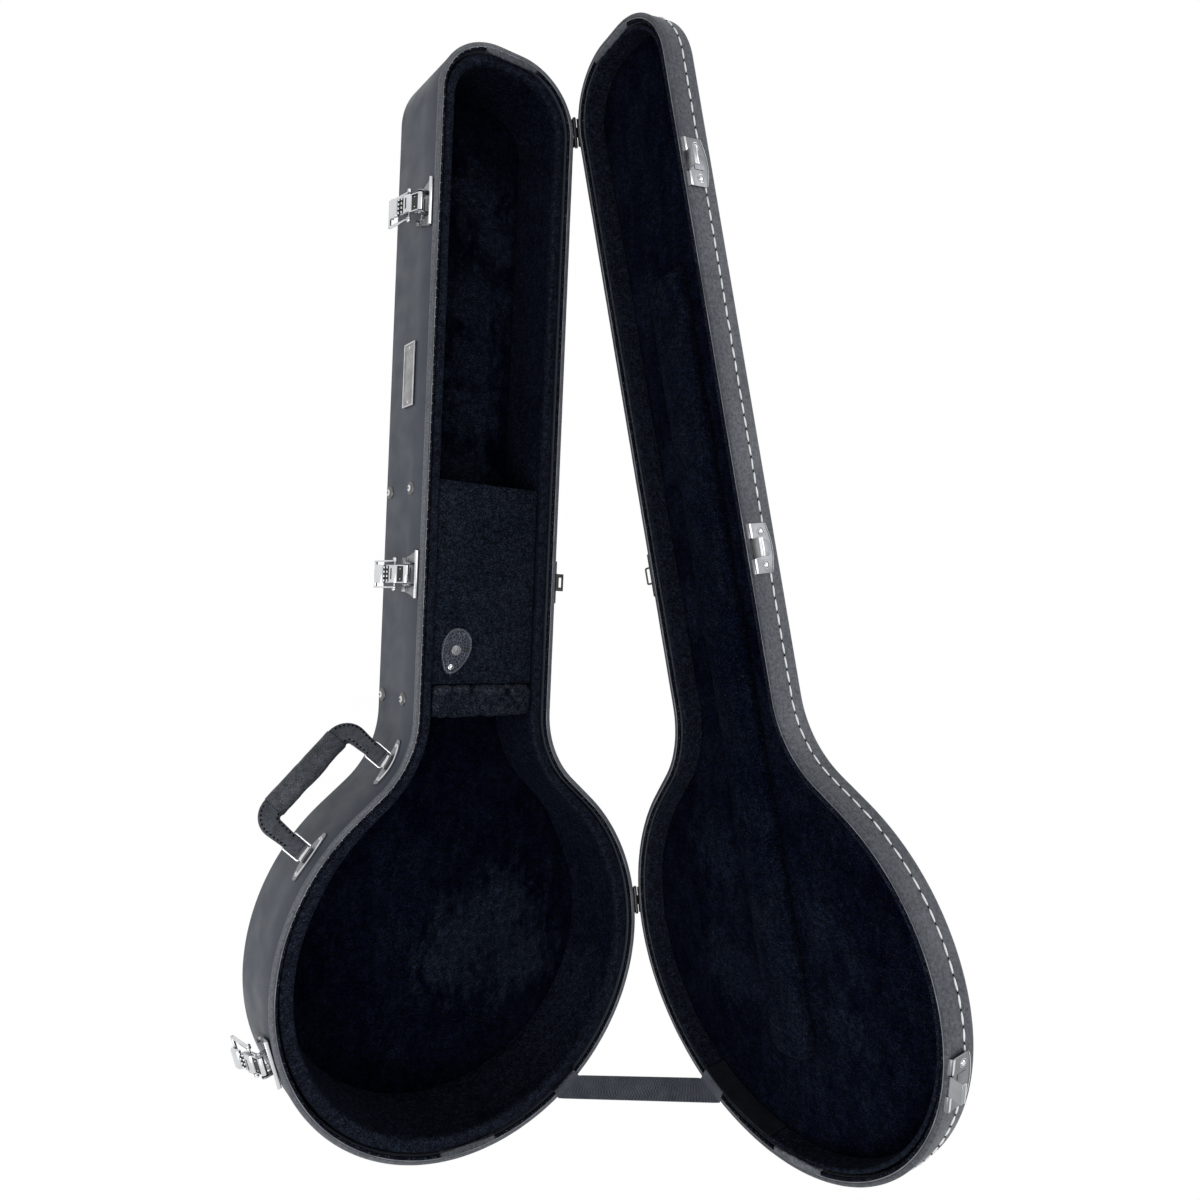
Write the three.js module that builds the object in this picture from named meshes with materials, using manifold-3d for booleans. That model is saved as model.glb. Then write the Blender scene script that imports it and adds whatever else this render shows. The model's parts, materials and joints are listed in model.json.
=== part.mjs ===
// Banjo case: plywood base and lid covered in grained vinyl and lined with plush, lying on its back
// with the lid held open by a stay strap. Millimetres, +Z up, +Y toward the peghead end; the origin
// lies on the underside, below the centre of the round body. Latches and handle are on the -X side,
// hinges on the +X side.
import * as THREE from "three";
import { mergeVertices } from "three/addons/utils/BufferGeometryUtils.js";
import Module from "manifold-3d";

const wasm = await Module();
wasm.setup();

// Angles and counts
const lidOpenAngle = 87.8; // degrees from closed to the taut strap
const shoulderAngle = 48.55; // degrees from +X where the straight shoulder leaves the body circle
const leverRestAngle = 20; // degrees that each latch lever stands out from the wall
const bailRestAngle = -10; // degrees of each bail from its lever, leaning toward the wall
const handleDroopAngle = 23; // degrees that the handle hangs below the level of its pivot
const strapHighAngle = -48.6; // azimuth in degrees of the strap's upper edge on the rim
const strapLowAngle = -57.5; // azimuth in degrees of the strap's lower edge on the rim
const strapTailEndAngle = -78; // azimuth in degrees of the cut end inside the lid
const tailLatchAngle = -17; // degrees on the tail's ellipse, mirrored to the latch side
const tabTiltAngle = -18; // degrees that the pull tab leans
const steps = { tail: 12, body: 8, waist: 6, corner: 6, wire: 8, round: 12, grip: 9 };

// Shell
const gap = 0.3; // clearance that touching pieces keep
const overrun = 1; // how far a cutting tool runs past the piece
const bodyRadius = 195; // round end, centre of the body to the outer wall
const tailRadius = 187.6; // centre of the body to the tail end
const headY = 889.4; // centre of the body to the head end
const neckHalfAtBody = 74; // half width of the neck line at the body circle's height
const neckHalfAtHead = 76; // half width of the neck line at the head end
const waistFillet = 92.9; // concave radius between shoulder and neck
const headCorner = 63.5; // corner radius at the head end
const wall = 7; // plywood with its covering
const baseDepth = 92;
const lidDepth = 34;
const boardRound = 5; // rounding of the base and lid boards' outer edge

// Rim beads
const bead = { proud: 0.3, height: 3, round: 2.4 };
const turnShare = 0.3; // how far along a rounded edge its middle point lies
const foldShare = 0.7; // how far over a bead's rounding a keeper's lips reach

// Linings
const lining = {
  backGap: 1.8, // slot between wall and lining that holds lips and strap end
  baseThick: 9.4,
  lidThick: 4,
  baseRecess: 4, // lining top below the rim plane
  lidRecess: 3,
  round: 3,
  floor: 4.7,
  lidTop: 2.5,
};
const lip = { thick: 1.5, halfLength: 30, baseDeep: 24, lidDeep: 10, rimGap: 0.5 };
const neckPad = { half: 25, tailY: -95, headY: 650, thick: 12, round: 4, point: 18 };

// Neck fittings, as distances along the neck from the centre of the body
const rest = {
  tailY: 234, headY: 265.7, below: 7, crown: 2.5, sag: 4, round: 7, sideGap: 1, ledge: 5,
};
const headWall = { headY: 461.7, thick: 13.7 };
const pocketLid = { headY: 462, below: 10, thick: 4, sideGap: 0.6, edge: 1.2 };
const tab = {
  x: -31, y: 298, long: 46, wide: 34, narrow: 22, thick: 1.6,
  discRadius: 5, discHigh: 1.2, discY: 1, snapRadius: 2.8, snapHigh: 1.6, snapY: -16,
};

// Hinges on the common tangent of body and head corner
const hinge = {
  half: 14, leafThick: 1, leafDeep: 18,
  knuckleRadius: 1.9, boreRadius: 1.15, pinRadius: 0.85, pinHeadRadius: 1.7, pinHeadHigh: 0.8,
  middleHalf: 4.9, drop: 1.5, rivetRadius: 1.6, rivetHigh: 0.6, rivetOut: 9.5, rivetDown: 12,
};

// Latches, in each latch's own frame: along the rim, out from the wall, up from the rim plane
const latch = {
  headY: 720, waistY: 369.4,
  plateHalf: 22.5, plateFoot: 17, plateTop: 4, shoulderTop: 12, shoulderLow: 19, plateLow: 31,
  plateThick: 1.2, flangeOut: 4, flangeThick: 1.5,
  earInner: 9.3, earThick: 1.5, earRadius: 3.2, pivotOut: 9, pivotDown: 13,
  rivetRadius: 2, rivetHigh: 0.9, rivetOut: 18.5, rivetUp: 9, rivetIn: 12.8, rivetDown: 26,
};
const lever = {
  half: 8.5, long: 42, thick: 1.2, faceOut: 1.6, barrelRadius: 2.6, boreRadius: 1.3, pinRadius: 1,
  flangeThick: 1.1, flangeIn: 2.6, flangeLong: 25, curlRadius: 2.2, pinHeadRadius: 1.9, pinHeadHigh: 0.9,
};
const bail = {
  pivotLong: 16, pivotIn: 1.2, long: 33, armInner: 12, armThick: 1.2, armHalf: 1.2,
  barRadius: 1.4, eyeRadius: 2, boreRadius: 1.3, pinRadius: 1, pinHeadRadius: 1.9, pinHeadHigh: 1,
};
const keeper = {
  half: 22.5, high: 20.5, middleHigh: 25, thick: 1.2, lipLong: 13.5, lipDrop: 1.2,
  hookHalf: 8.5, hookShelf: 1.6, hookUp: 0.6, hookOut: 12, hookLip: 1.2, hookHigh: 6,
  rivetRadius: 2.2, rivetHigh: 1, rivetOut: 15, rivetUp: 14,
};

// Guides at the waist on the hinge side
const guide = {
  y: 369.8, half: 21.5, high: 16, thick: 1.2, tabHalf: 8.75, tabOut: 9.5, tabThick: 1.2, tabDown: 0.6,
  slotHalf: 5, slotIn: 4, slotOut: 8, wireRadius: 1, loopHalf: 8, loopOut: 9.2, loopUp: 1.9,
};

// Name plate, left bare, and the screws that hold the cross walls
const plate = { y: 563, below: 41.5, half: 31, halfHigh: 12, thick: 2, bevel: 0.8,
  pinRadius: 1.4, pinHigh: 0.7, pinOut: 27 };
const screw = { headRadius: 3.2, washerRadius: 6.5, washerHigh: 2, domeHigh: 0.9, socketRadius: 1.2,
  socketDeep: 0.6 };
const screwYs = [251, 452];
const screwZs = [13, 63];

// Handle: plates on the wall, rings on one straight axis, stitched leather ends and a wrapped grip
const handle = {
  z: 67, axisOut: 4.6, upperAngle: 29.32, lowerAngle: 35.49,
  plateHalf: 23.5, plateHigh: 6, plateEnd: 3, plateThick: 1.2,
  bridgeHalf: 6.6, bridgeHigh: 3.4, bridgeOver: 2.6, boreRadius: 1.25,
  wireRadius: 0.9, ringHalf: 8.4, ringLong: 19,
  tabStart: 15.9, tabHalf: 7.2, postHalf: 8.7, tabThickHalf: 3, cornerThickHalf: 8.5,
  gripOut: 48.15, gripRadius: 11.2, gripFlat: 10.2, cornerRadius: 12,
  waistIn: 1.2, outerEaseShare: 0.2, flatEaseShare: 0.5, sleeve: 0.9, taperPower: 1.4,
};

// Stay strap
const strap = { thick: 1.5, endDeep: 30, endBelow: 0.7, wide: 25, tailBelow: 0.8, spanLift: 0.5 };

// Shares of a radius and a height, from the rim to the crown
const domeShares = [[0, 0], [1, 0], [0.86, 0.55], [0.5, 0.9], [0, 1]];
const washerShares = [[0, 0], [1, 0], [0.92, 0.35], [0.55, 1]];
const crownShares = [[1, 0], [0.8, 0.6], [0.42, 1]];
const padTipShares = [0.6, 0.25]; // width and length of the neck pad's tip at its middle point
const wireBendShare = 1.5; // bend radius of a wire as a share of its own radius

// Helpers

const rad = THREE.MathUtils.degToRad;
const up = new THREE.Vector3(0, 0, 1);
const along = new THREE.Vector3(1, 0, 0);
const v3 = (x, y, z) => new THREE.Vector3(x, y, z);

const finish = (color, roughness, metalness) =>
  new THREE.MeshStandardMaterial({ color, roughness, metalness });
const vinyl = finish(0x565a61, 0.55, 0);
const piping = finish(0x6a6d73, 0.6, 0);
const plush = finish(0x14161b, 1, 0);
const lipCloth = finish(0x8b8f94, 0.7, 0);
const chrome = finish(0xd8dadd, 0.18, 1);
const darkMetal = finish(0x6d6e6c, 0.35, 1);
const leather = finish(0x3a3c41, 0.55, 0);
const blackLeather = finish(0x1b1c1f, 0.6, 0);
const webbing = finish(0x46494d, 0.9, 0);

// Closed surface through a row of loops with equal point counts. An open row gets a cap at each end.
function skin(loops, { closed = false } = {}) {
  const count = loops[0].length;
  const points = loops.flat();
  const faces = [];
  const rows = closed ? loops.length : loops.length - 1;
  for (let s = 0; s < rows; s++) {
    const a = s * count;
    const b = ((s + 1) % loops.length) * count;
    for (let i = 0; i < count; i++) {
      const j = (i + 1) % count;
      faces.push([a + i, a + j, b + j], [a + i, b + j, b + i]);
    }
  }
  if (!closed) {
    const last = (loops.length - 1) * count;
    for (const f of capFaces(loops[0])) faces.push([f[2], f[1], f[0]]);
    for (const f of capFaces(loops.at(-1))) faces.push(f.map((i) => last + i));
  }
  return surface(points, faces);
}

// Triangles over one loop, turning the same way as the loop itself.
function capFaces(loop) {
  const normal = v3(0, 0, 0);
  loop.forEach((p, i) => normal.add(p.clone().cross(loop[(i + 1) % loop.length])));
  normal.normalize();
  const helper = Math.abs(normal.z) < Math.SQRT1_2 ? up : along;
  const ex = helper.clone().cross(normal).normalize();
  const ey = normal.clone().cross(ex);
  const flat = loop.map((p) => new THREE.Vector2(p.dot(ex), p.dot(ey)));
  return THREE.ShapeUtils.triangulateShape(flat, []).map(([a, b, c]) => {
    const ab = flat[b].clone().sub(flat[a]);
    const ac = flat[c].clone().sub(flat[a]);
    return ab.cross(ac) > 0 ? [a, b, c] : [a, c, b];
  });
}

// Geometry from points and triangles, turned so that its faces look outward.
function surface(points, faces) {
  let volume = 0;
  for (const [a, b, c] of faces) volume += points[a].dot(points[b].clone().cross(points[c]));
  const geometry = new THREE.BufferGeometry().setFromPoints(points);
  geometry.setIndex(faces.flatMap(([a, b, c]) => (volume < 0 ? [a, c, b] : [a, b, c])));
  return geometry;
}

function toSolid(geometry) {
  const bare = geometry.clone();
  bare.deleteAttribute("normal");
  bare.deleteAttribute("uv");
  const merged = mergeVertices(bare);
  return new wasm.Manifold(
    new wasm.Mesh({
      numProp: 3,
      vertProperties: merged.attributes.position.array,
      triVerts: new Uint32Array(merged.index.array),
    }),
  );
}

function toGeometry(solid) {
  const mesh = solid.getMesh();
  const geometry = new THREE.BufferGeometry();
  geometry.setAttribute("position", new THREE.BufferAttribute(mesh.vertProperties, mesh.numProp));
  geometry.setIndex(new THREE.BufferAttribute(mesh.triVerts, 1));
  return geometry;
}

// Joins the first list of geometries and cuts the second list from them.
function carve(joined, cut = []) {
  let solid = toSolid(joined[0]);
  for (const g of joined.slice(1)) solid = solid.add(toSolid(g));
  for (const g of cut) solid = solid.subtract(toSolid(g));
  return toGeometry(solid);
}

function box(x0, x1, y0, y1, z0, z1) {
  return new THREE.BoxGeometry(x1 - x0, y1 - y0, z1 - z0).translate(
    (x0 + x1) / 2, (y0 + y1) / 2, (z0 + z1) / 2,
  );
}

// Cylinder along X between x0 and x1, centred on (y, z).
function bar(radius, x0, x1, y, z, sides = steps.round) {
  return new THREE.CylinderGeometry(radius, radius, x1 - x0, sides)
    .rotateZ(Math.PI / 2)
    .translate((x0 + x1) / 2, y, z);
}

// Low dome that rises along +Y from y, centred on (x, z).
function dome(radius, high, x, y, z, sides = 8) {
  const points = domeShares.map(([r, h]) => new THREE.Vector2(r * radius, h * high));
  return new THREE.LatheGeometry(points, sides).translate(x, y, z);
}

// Plate from an outline in X and Z, standing between y0 and y1.
function sheet(outline, y0, y1) {
  const loop = (y) => outline.map(([x, z]) => v3(x, y, z));
  return skin([loop(y0), loop(y1)]);
}

function add(group, name, geometry, material) {
  const flat = geometry.index ? geometry.toNonIndexed() : geometry;
  flat.computeVertexNormals();
  const mesh = new THREE.Mesh(flat, material);
  mesh.name = name;
  group.add(mesh);
  return mesh;
}

// Outline of the case

const neckSlope = (neckHalfAtHead - neckHalfAtBody) / (headY - bodyRadius);
const neckX = (y) => neckHalfAtBody + neckSlope * (y - bodyRadius);
const neckLength = Math.hypot(1, neckSlope);
const neckNormal = { x: 1 / neckLength, y: -neckSlope / neckLength };
const cornerCentre = {
  x: neckX(headY - headCorner) - headCorner * neckLength,
  y: headY - headCorner,
};

function ellipsePoint(angle) {
  const a = rad(angle);
  const n = v3(Math.cos(a) / bodyRadius, Math.sin(a) / tailRadius, 0).normalize();
  return { x: bodyRadius * Math.cos(a), y: tailRadius * Math.sin(a), nx: n.x, ny: n.y };
}

function circlePoint(centre, radius, angle) {
  const nx = Math.cos(angle);
  const ny = Math.sin(angle);
  return { x: centre.x + radius * nx, y: centre.y + radius * ny, nx, ny };
}

function waistCentre() {
  const a = rad(shoulderAngle);
  const start = { x: bodyRadius * Math.cos(a), y: bodyRadius * Math.sin(a) };
  const t = { x: -Math.sin(a), y: Math.cos(a) };
  const reach = (neckX(start.y) - start.x) / (t.x - neckSlope * t.y);
  const meet = { x: start.x + reach * t.x, y: start.y + reach * t.y };
  const cosine = t.x * -neckNormal.y + t.y * neckNormal.x;
  const cutBack = waistFillet * Math.tan(Math.acos(cosine) / 2);
  return {
    x: meet.x - cutBack * t.x + waistFillet * Math.cos(a),
    y: meet.y - cutBack * t.y + waistFillet * Math.sin(a),
  };
}
const waist = waistCentre();

// Point on the concave waist; angle is that of the wall's outward normal.
function waistPoint(angle) {
  const nx = Math.cos(angle);
  const ny = Math.sin(angle);
  return { x: waist.x - waistFillet * nx, y: waist.y - waistFillet * ny, nx, ny };
}

const spread = (from, to, count) =>
  Array.from({ length: count + 1 }, (_, i) => from + ((to - from) * i) / count);

const headNormalAngle = Math.atan2(neckNormal.y, neckNormal.x);

// The +X half of the outline, from the tail end to the head end.
const halfOutline = [
  ...spread(-90, 0, steps.tail).map(ellipsePoint),
  ...spread(0, rad(shoulderAngle), steps.body).slice(1)
    .map((a) => circlePoint({ x: 0, y: 0 }, bodyRadius, a)),
  ...spread(rad(shoulderAngle), headNormalAngle, steps.waist).map(waistPoint),
  ...spread(headNormalAngle, Math.PI / 2, steps.corner)
    .map((a) => circlePoint(cornerCentre, headCorner, a)),
  { x: 0, y: headY, nx: 0, ny: 1 },
];
const mirrored = (p) => ({ x: -p.x, y: p.y, nx: -p.nx, ny: p.ny });
const otherHalf = halfOutline.slice(1, -1).reverse().map(mirrored);
const outline = [...halfOutline, ...otherHalf];

const inset = (p, depth, z) => v3(p.x - p.nx * depth, p.y - p.ny * depth, z);
const level = (depth, z) => outline.map((p) => inset(p, depth, z));

// Ring that follows the whole outline, from a closed profile of [inset, z].
const ring = (profile) => skin(profile.map(([d, z]) => level(d, z)), { closed: true });
// Panel that fills the outline, from [inset, z] levels bottom to top.
const panel = (levels) => skin(levels.map(([d, z]) => level(d, z)));
// Piece that follows part of the outline, from a closed profile of [inset, z].
const strip = (path, profile) => skin(path.map((p) => profile.map(([d, z]) => inset(p, d, z))));

const blend = (a, b, s) => ({
  x: a.x + (b.x - a.x) * s,
  y: a.y + (b.y - a.y) * s,
  nx: a.nx + (b.nx - a.nx) * s,
  ny: a.ny + (b.ny - a.ny) * s,
});
const azimuth = (p) => THREE.MathUtils.radToDeg(Math.atan2(p.y, p.x));
const height = (p) => p.y;

// The part of the +X half on which a rising measure lies between two values, cut on its facets.
function clipRun(measure, low, high) {
  const run = [];
  halfOutline.forEach((p, i) => {
    const q = halfOutline[i + 1];
    const here = measure(p);
    if (here > low && here < high) run.push(p);
    if (!q) return;
    const next = measure(q);
    if (here <= low && next > low) run.push(blend(p, q, (low - here) / (next - here)));
    if (here < high && next >= high) run.push(blend(p, q, (high - here) / (next - here)));
  });
  return run;
}
const rimAt = (angle) => clipRun(azimuth, angle, 90)[0];

// The run on the +X half and its mirror image as one run that passes the tail or the head end.
const pastTail = (run) => [...run.filter((p) => p.x > 0).reverse(), halfOutline[0],
  ...run.filter((p) => p.x > 0).map(mirrored)];
const pastHead = (run) => [...run.filter((p) => p.x > 0), halfOutline.at(-1),
  ...run.filter((p) => p.x > 0).reverse().map(mirrored)];

const bodyRun = pastTail(clipRun(height, -bodyRadius, rest.tailY - gap));
const neckRun = pastHead(clipRun(height, rest.headY + rest.ledge + gap, headY));
const tailEdge = -Math.atan2(
  tailRadius * Math.sqrt(1 - (lip.halfLength / bodyRadius) ** 2), lip.halfLength,
);
const tailLipRun = pastTail(clipRun(azimuth, -90, THREE.MathUtils.radToDeg(tailEdge)));
const headEdge = THREE.MathUtils.radToDeg(Math.atan2(headY, lip.halfLength));
const headLipRun = pastHead(clipRun(azimuth, headEdge, 90));

// Group whose X runs along the rim, Y out from the wall and Z up from the rim plane.
function wallFrame(point, parent) {
  const frame = new THREE.Group();
  frame.position.set(point.x, point.y, baseDepth);
  frame.rotation.z = Math.atan2(point.ny, point.nx) - Math.PI / 2;
  parent.add(frame);
  return frame;
}

const neckPoint = (y) => ({ x: neckX(y), y, nx: neckNormal.x, ny: neckNormal.y });

// Hinge line: the outer tangent of the body circle and the head corner
const centreDistance = Math.hypot(cornerCentre.x, cornerCentre.y);
const hingeAngle = Math.atan2(cornerCentre.y, cornerCentre.x)
  - Math.acos((bodyRadius - headCorner) / centreDistance);
const hingeNormal = { x: Math.cos(hingeAngle), y: Math.sin(hingeAngle) };
const hingeOut = bead.proud + gap + hinge.knuckleRadius;
const hingeAxis = v3(-hingeNormal.y, hingeNormal.x, 0);
const hingePoint = v3(
  (bodyRadius + hingeOut) * hingeNormal.x,
  (bodyRadius + hingeOut) * hingeNormal.y,
  baseDepth - hinge.drop,
);

const banjoCase = new THREE.Group();
const baseGroup = new THREE.Group();
const lidPivot = new THREE.Group();
const lidGroup = new THREE.Group();
banjoCase.add(baseGroup, lidPivot);
lidPivot.position.copy(hingePoint);
lidPivot.setRotationFromAxisAngle(hingeAxis, rad(lidOpenAngle));
lidPivot.add(lidGroup);
lidGroup.position.copy(hingePoint).negate();

// Where a point of the closed lid lies once the lid is open.
const opened = (p) =>
  p.clone().sub(hingePoint).applyAxisAngle(hingeAxis, rad(lidOpenAngle)).add(hingePoint);

const baseRim = baseDepth - gap / 2;
const lidRim = baseDepth + gap / 2;
const caseHigh = baseDepth + lidDepth;
const liningBack = wall + gap + lining.backGap;
const baseLiningFace = liningBack + lining.baseThick;
const lidLiningFace = liningBack + lining.lidThick;
const floorTop = wall + gap + lining.floor;

function roundedEdge(outerZ, inwardZ) {
  const way = Math.sign(inwardZ - outerZ);
  return [0, 30, 60, 90].map((a) => [
    boardRound * (1 - Math.sin(rad(a))), outerZ + way * boardRound * (1 - Math.cos(rad(a))),
  ]);
}

function beadProfile(rimZ, way) {
  const side = rimZ + way * bead.height;
  return [
    [-bead.proud, side],
    [-bead.proud, rimZ + way * bead.round],
    [bead.round * turnShare - bead.proud, rimZ + way * bead.round * turnShare],
    [bead.round - bead.proud, rimZ],
    [wall - bead.round, rimZ],
    [wall, rimZ + way * bead.round],
    [wall, side],
  ];
}

function addShells() {
  add(baseGroup, "base_back_board", panel([...roundedEdge(0, wall), [0, wall]]), vinyl);
  add(baseGroup, "base_side_wall", ring([
    [0, wall + gap], [0, baseRim - bead.height - gap],
    [wall, baseRim - bead.height - gap], [wall, wall + gap],
  ]), vinyl);
  add(baseGroup, "base_rim_bead", ring(beadProfile(baseRim, -1)), piping);
  add(lidGroup, "lid_top_board",
    panel([[0, caseHigh - wall], ...roundedEdge(caseHigh, caseHigh - wall).reverse()]), vinyl);
  add(lidGroup, "lid_side_wall", ring([
    [0, lidRim + bead.height + gap], [0, caseHigh - wall - gap],
    [wall, caseHigh - wall - gap], [wall, lidRim + bead.height + gap],
  ]), vinyl);
  add(lidGroup, "lid_rim_bead", ring(beadProfile(lidRim, 1)), piping);
}

function addLinings() {
  const top = baseDepth - lining.baseRecess;
  const low = wall + gap;
  const wallPad = [
    [liningBack, low], [liningBack, top - lining.round],
    [liningBack + lining.round, top], [baseLiningFace - lining.round, top],
    [baseLiningFace, top - lining.round], [baseLiningFace, low],
  ];
  add(baseGroup, "base_body_lining", strip(bodyRun, wallPad), plush);
  add(baseGroup, "base_neck_lining", strip(neckRun, wallPad), plush);
  add(baseGroup, "base_floor_lining",
    panel([[baseLiningFace + gap, low], [baseLiningFace + gap, floorTop]]), plush);

  const lidLow = baseDepth + lining.lidRecess;
  const lidHigh = caseHigh - wall - gap;
  add(lidGroup, "lid_wall_lining", ring([
    [liningBack, lidHigh], [liningBack, lidLow], [lidLiningFace, lidLow], [lidLiningFace, lidHigh],
  ]), plush);
  add(lidGroup, "lid_top_lining",
    panel([[lidLiningFace + gap, lidHigh - lining.lidTop], [lidLiningFace + gap, lidHigh]]), plush);
  addNeckPad(lidHigh - lining.lidTop - gap);

  const lipBack = wall + gap;
  const lipProfile = (z0, z1) => [
    [lipBack, z0], [lipBack, z1], [lipBack + lip.thick, z1], [lipBack + lip.thick, z0],
  ];
  const baseLip = lipProfile(baseRim - lip.baseDeep, baseRim - lip.rimGap);
  const lidLip = lipProfile(lidRim + lip.rimGap, lidRim + lip.lidDeep);
  add(baseGroup, "base_tail_lip", strip(tailLipRun, baseLip), lipCloth);
  add(baseGroup, "base_head_lip", strip(headLipRun, baseLip), lipCloth);
  add(lidGroup, "lid_tail_lip", strip(tailLipRun, lidLip), lipCloth);
  add(lidGroup, "lid_head_lip", strip(headLipRun, lidLip), lipCloth);
}

// Long plush pad under the lid's top that holds the neck down; its tail end is pointed.
function addNeckPad(topZ) {
  const shape = (shrink) => {
    const half = neckPad.half - shrink;
    const low = neckPad.tailY + shrink;
    const high = neckPad.headY - shrink;
    const tip = [half * padTipShares[0], low + neckPad.point * padTipShares[1]];
    return [
      [0, low], tip, [half, low + neckPad.point],
      [half, high], [-half, high], [-half, low + neckPad.point], [-tip[0], tip[1]],
    ];
  };
  const loop = (shrink, z) => shape(shrink).map(([x, y]) => v3(x, y, z));
  const face = topZ - neckPad.thick;
  add(lidGroup, "lid_neck_pad", skin([
    loop(0, topZ), loop(0, face + neckPad.round),
    loop(neckPad.round * turnShare, face + neckPad.round * turnShare), loop(neckPad.round, face),
  ]), plush);
}

function addNeckFittings() {
  const floor = floorTop + gap;
  const ledgeZ = baseDepth - pocketLid.below - pocketLid.thick - gap;
  const neckFace = (y) => neckX(y) - baseLiningFace;

  // Padded rest: crowned top that sags in the middle, with a ledge behind for the pocket lid
  const half = neckHalfAtBody - wall - rest.sideGap;
  const topZ = baseDepth - rest.below;
  const turn = rest.round * turnShare;
  const loops = spread(-1, 1, 8).map((s) => {
    const sag = rest.sag * (1 - s * s);
    const pinch = rest.crown * s ** 4;
    const crest = topZ - sag - pinch;
    const front = rest.tailY + pinch;
    return [
      [front, floor], [rest.headY + rest.ledge, floor], [rest.headY + rest.ledge, ledgeZ],
      [rest.headY, ledgeZ], [rest.headY, crest - rest.round],
      [rest.headY - turn, crest - turn], [rest.headY - rest.round, crest],
      [front + rest.round, crest], [front + turn, crest - turn], [front, crest - rest.round],
    ].map(([y, z]) => v3(s * half, y, z));
  });
  const sideRelief = [-1, 1].map((side) => {
    const face = neckFace(rest.tailY) - gap;
    const back = half + overrun;
    const xs = side < 0 ? [-back, -face] : [face, back];
    return box(...xs, rest.headY, rest.headY + rest.ledge + overrun, 0, baseDepth);
  });
  add(baseGroup, "neck_rest", carve([skin(loops)], sideRelief), plush);

  const wallTail = headWall.headY - headWall.thick;
  const wallHalf = neckFace(wallTail) - gap;
  add(baseGroup, "pocket_head_wall",
    box(-wallHalf, wallHalf, wallTail, headWall.headY, floor, ledgeZ), plush);

  const lidHalf = neckFace(rest.headY) - pocketLid.sideGap;
  const lidTop = baseDepth - pocketLid.below;
  const lidLoop = (shrink, z) => [
    [-lidHalf + shrink, rest.headY + gap + shrink], [lidHalf - shrink, rest.headY + gap + shrink],
    [lidHalf - shrink, pocketLid.headY], [-lidHalf + shrink, pocketLid.headY],
  ].map(([x, y]) => v3(x, y, z));
  add(baseGroup, "pocket_lid", skin([
    lidLoop(0, lidTop - pocketLid.thick), lidLoop(0, lidTop - pocketLid.edge),
    lidLoop(pocketLid.edge, lidTop),
  ]), plush);

  const tabFrame = new THREE.Group();
  tabFrame.position.set(tab.x, tab.y, lidTop + gap);
  tabFrame.rotation.z = rad(tabTiltAngle);
  baseGroup.add(tabFrame);
  const tabLoop = (shrink, z) => spread(0, 360, 20).slice(0, -1).map((a) => {
    const y = Math.sin(rad(a));
    const wide = tab.narrow + ((tab.wide - tab.narrow) * (y + 1)) / 2;
    return v3(Math.cos(rad(a)) * (wide / 2 - shrink), y * (tab.long / 2 - shrink), z);
  });
  const rim = tab.thick / 3;
  add(tabFrame, "pull_tab", skin([
    tabLoop(rim, 0), tabLoop(0, rim), tabLoop(0, tab.thick - rim), tabLoop(rim, tab.thick),
  ]), blackLeather);
  const stud = (radius, high, y) =>
    dome(radius, high, 0, 0, 0, steps.round).rotateX(Math.PI / 2).translate(0, y, tab.thick + gap);
  add(tabFrame, "tab_disc", stud(tab.discRadius, tab.discHigh, tab.discY), chrome);
  add(tabFrame, "tab_snap", stud(tab.snapRadius, tab.snapHigh, tab.snapY), chrome);
}

// Hinges

// One leaf with its knuckles: way is -1 for the base leaf, which hangs down, and 1 for the lid leaf.
function hingeLeaf(way) {
  const stand = bead.proud + gap;
  const axisZ = -hinge.drop;
  const clear = hinge.knuckleRadius + gap;
  const knuckles = way < 0
    ? [[-hinge.half, -hinge.middleHalf - gap], [hinge.middleHalf + gap, hinge.half]]
    : [[-hinge.middleHalf, hinge.middleHalf]];
  const others = way < 0
    ? [[-hinge.middleHalf - gap, hinge.middleHalf + gap]]
    : [[-hinge.half - overrun, -hinge.middleHalf], [hinge.middleHalf, hinge.half + overrun]];
  const y1 = stand + hinge.leafThick;
  const zs = way < 0 ? [axisZ - hinge.leafDeep, axisZ] : [axisZ, axisZ + hinge.leafDeep];
  const joined = [box(-hinge.half, hinge.half, stand, y1, ...zs)];
  for (const [x0, x1] of knuckles) joined.push(bar(hinge.knuckleRadius, x0, x1, hingeOut, axisZ));
  for (const side of [-1, 1]) {
    joined.push(dome(hinge.rivetRadius, hinge.rivetHigh + hinge.leafThick / 2,
      side * hinge.rivetOut, y1 - hinge.leafThick / 2, axisZ + way * hinge.rivetDown));
  }
  const cut = [bar(hinge.boreRadius, -hinge.half - overrun, hinge.half + overrun, hingeOut, axisZ)];
  for (const [x0, x1] of others) {
    cut.push(box(x0, x1, stand - overrun, hingeOut + clear, axisZ - clear, axisZ + clear));
  }
  return carve(joined, cut);
}

function addHinge(name, station) {
  const point = {
    x: bodyRadius * hingeNormal.x + hingeAxis.x * station,
    y: bodyRadius * hingeNormal.y + hingeAxis.y * station,
    nx: hingeNormal.x, ny: hingeNormal.y,
  };
  const baseFrame = wallFrame(point, baseGroup);
  const lidFrame = wallFrame(point, lidGroup);
  add(baseFrame, `${name}_base_leaf`, hingeLeaf(-1), darkMetal);
  add(lidFrame, `${name}_lid_leaf`, hingeLeaf(1), darkMetal);
  const end = hinge.half + gap + hinge.pinHeadHigh;
  add(baseFrame, `${name}_pin`, carve([
    bar(hinge.pinRadius, -end, end, hingeOut, -hinge.drop, steps.wire),
    bar(hinge.pinHeadRadius, -end, -hinge.half - gap, hingeOut, -hinge.drop, steps.wire),
    bar(hinge.pinHeadRadius, hinge.half + gap, end, hingeOut, -hinge.drop, steps.wire),
  ]), darkMetal);
}

// Latches

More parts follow.
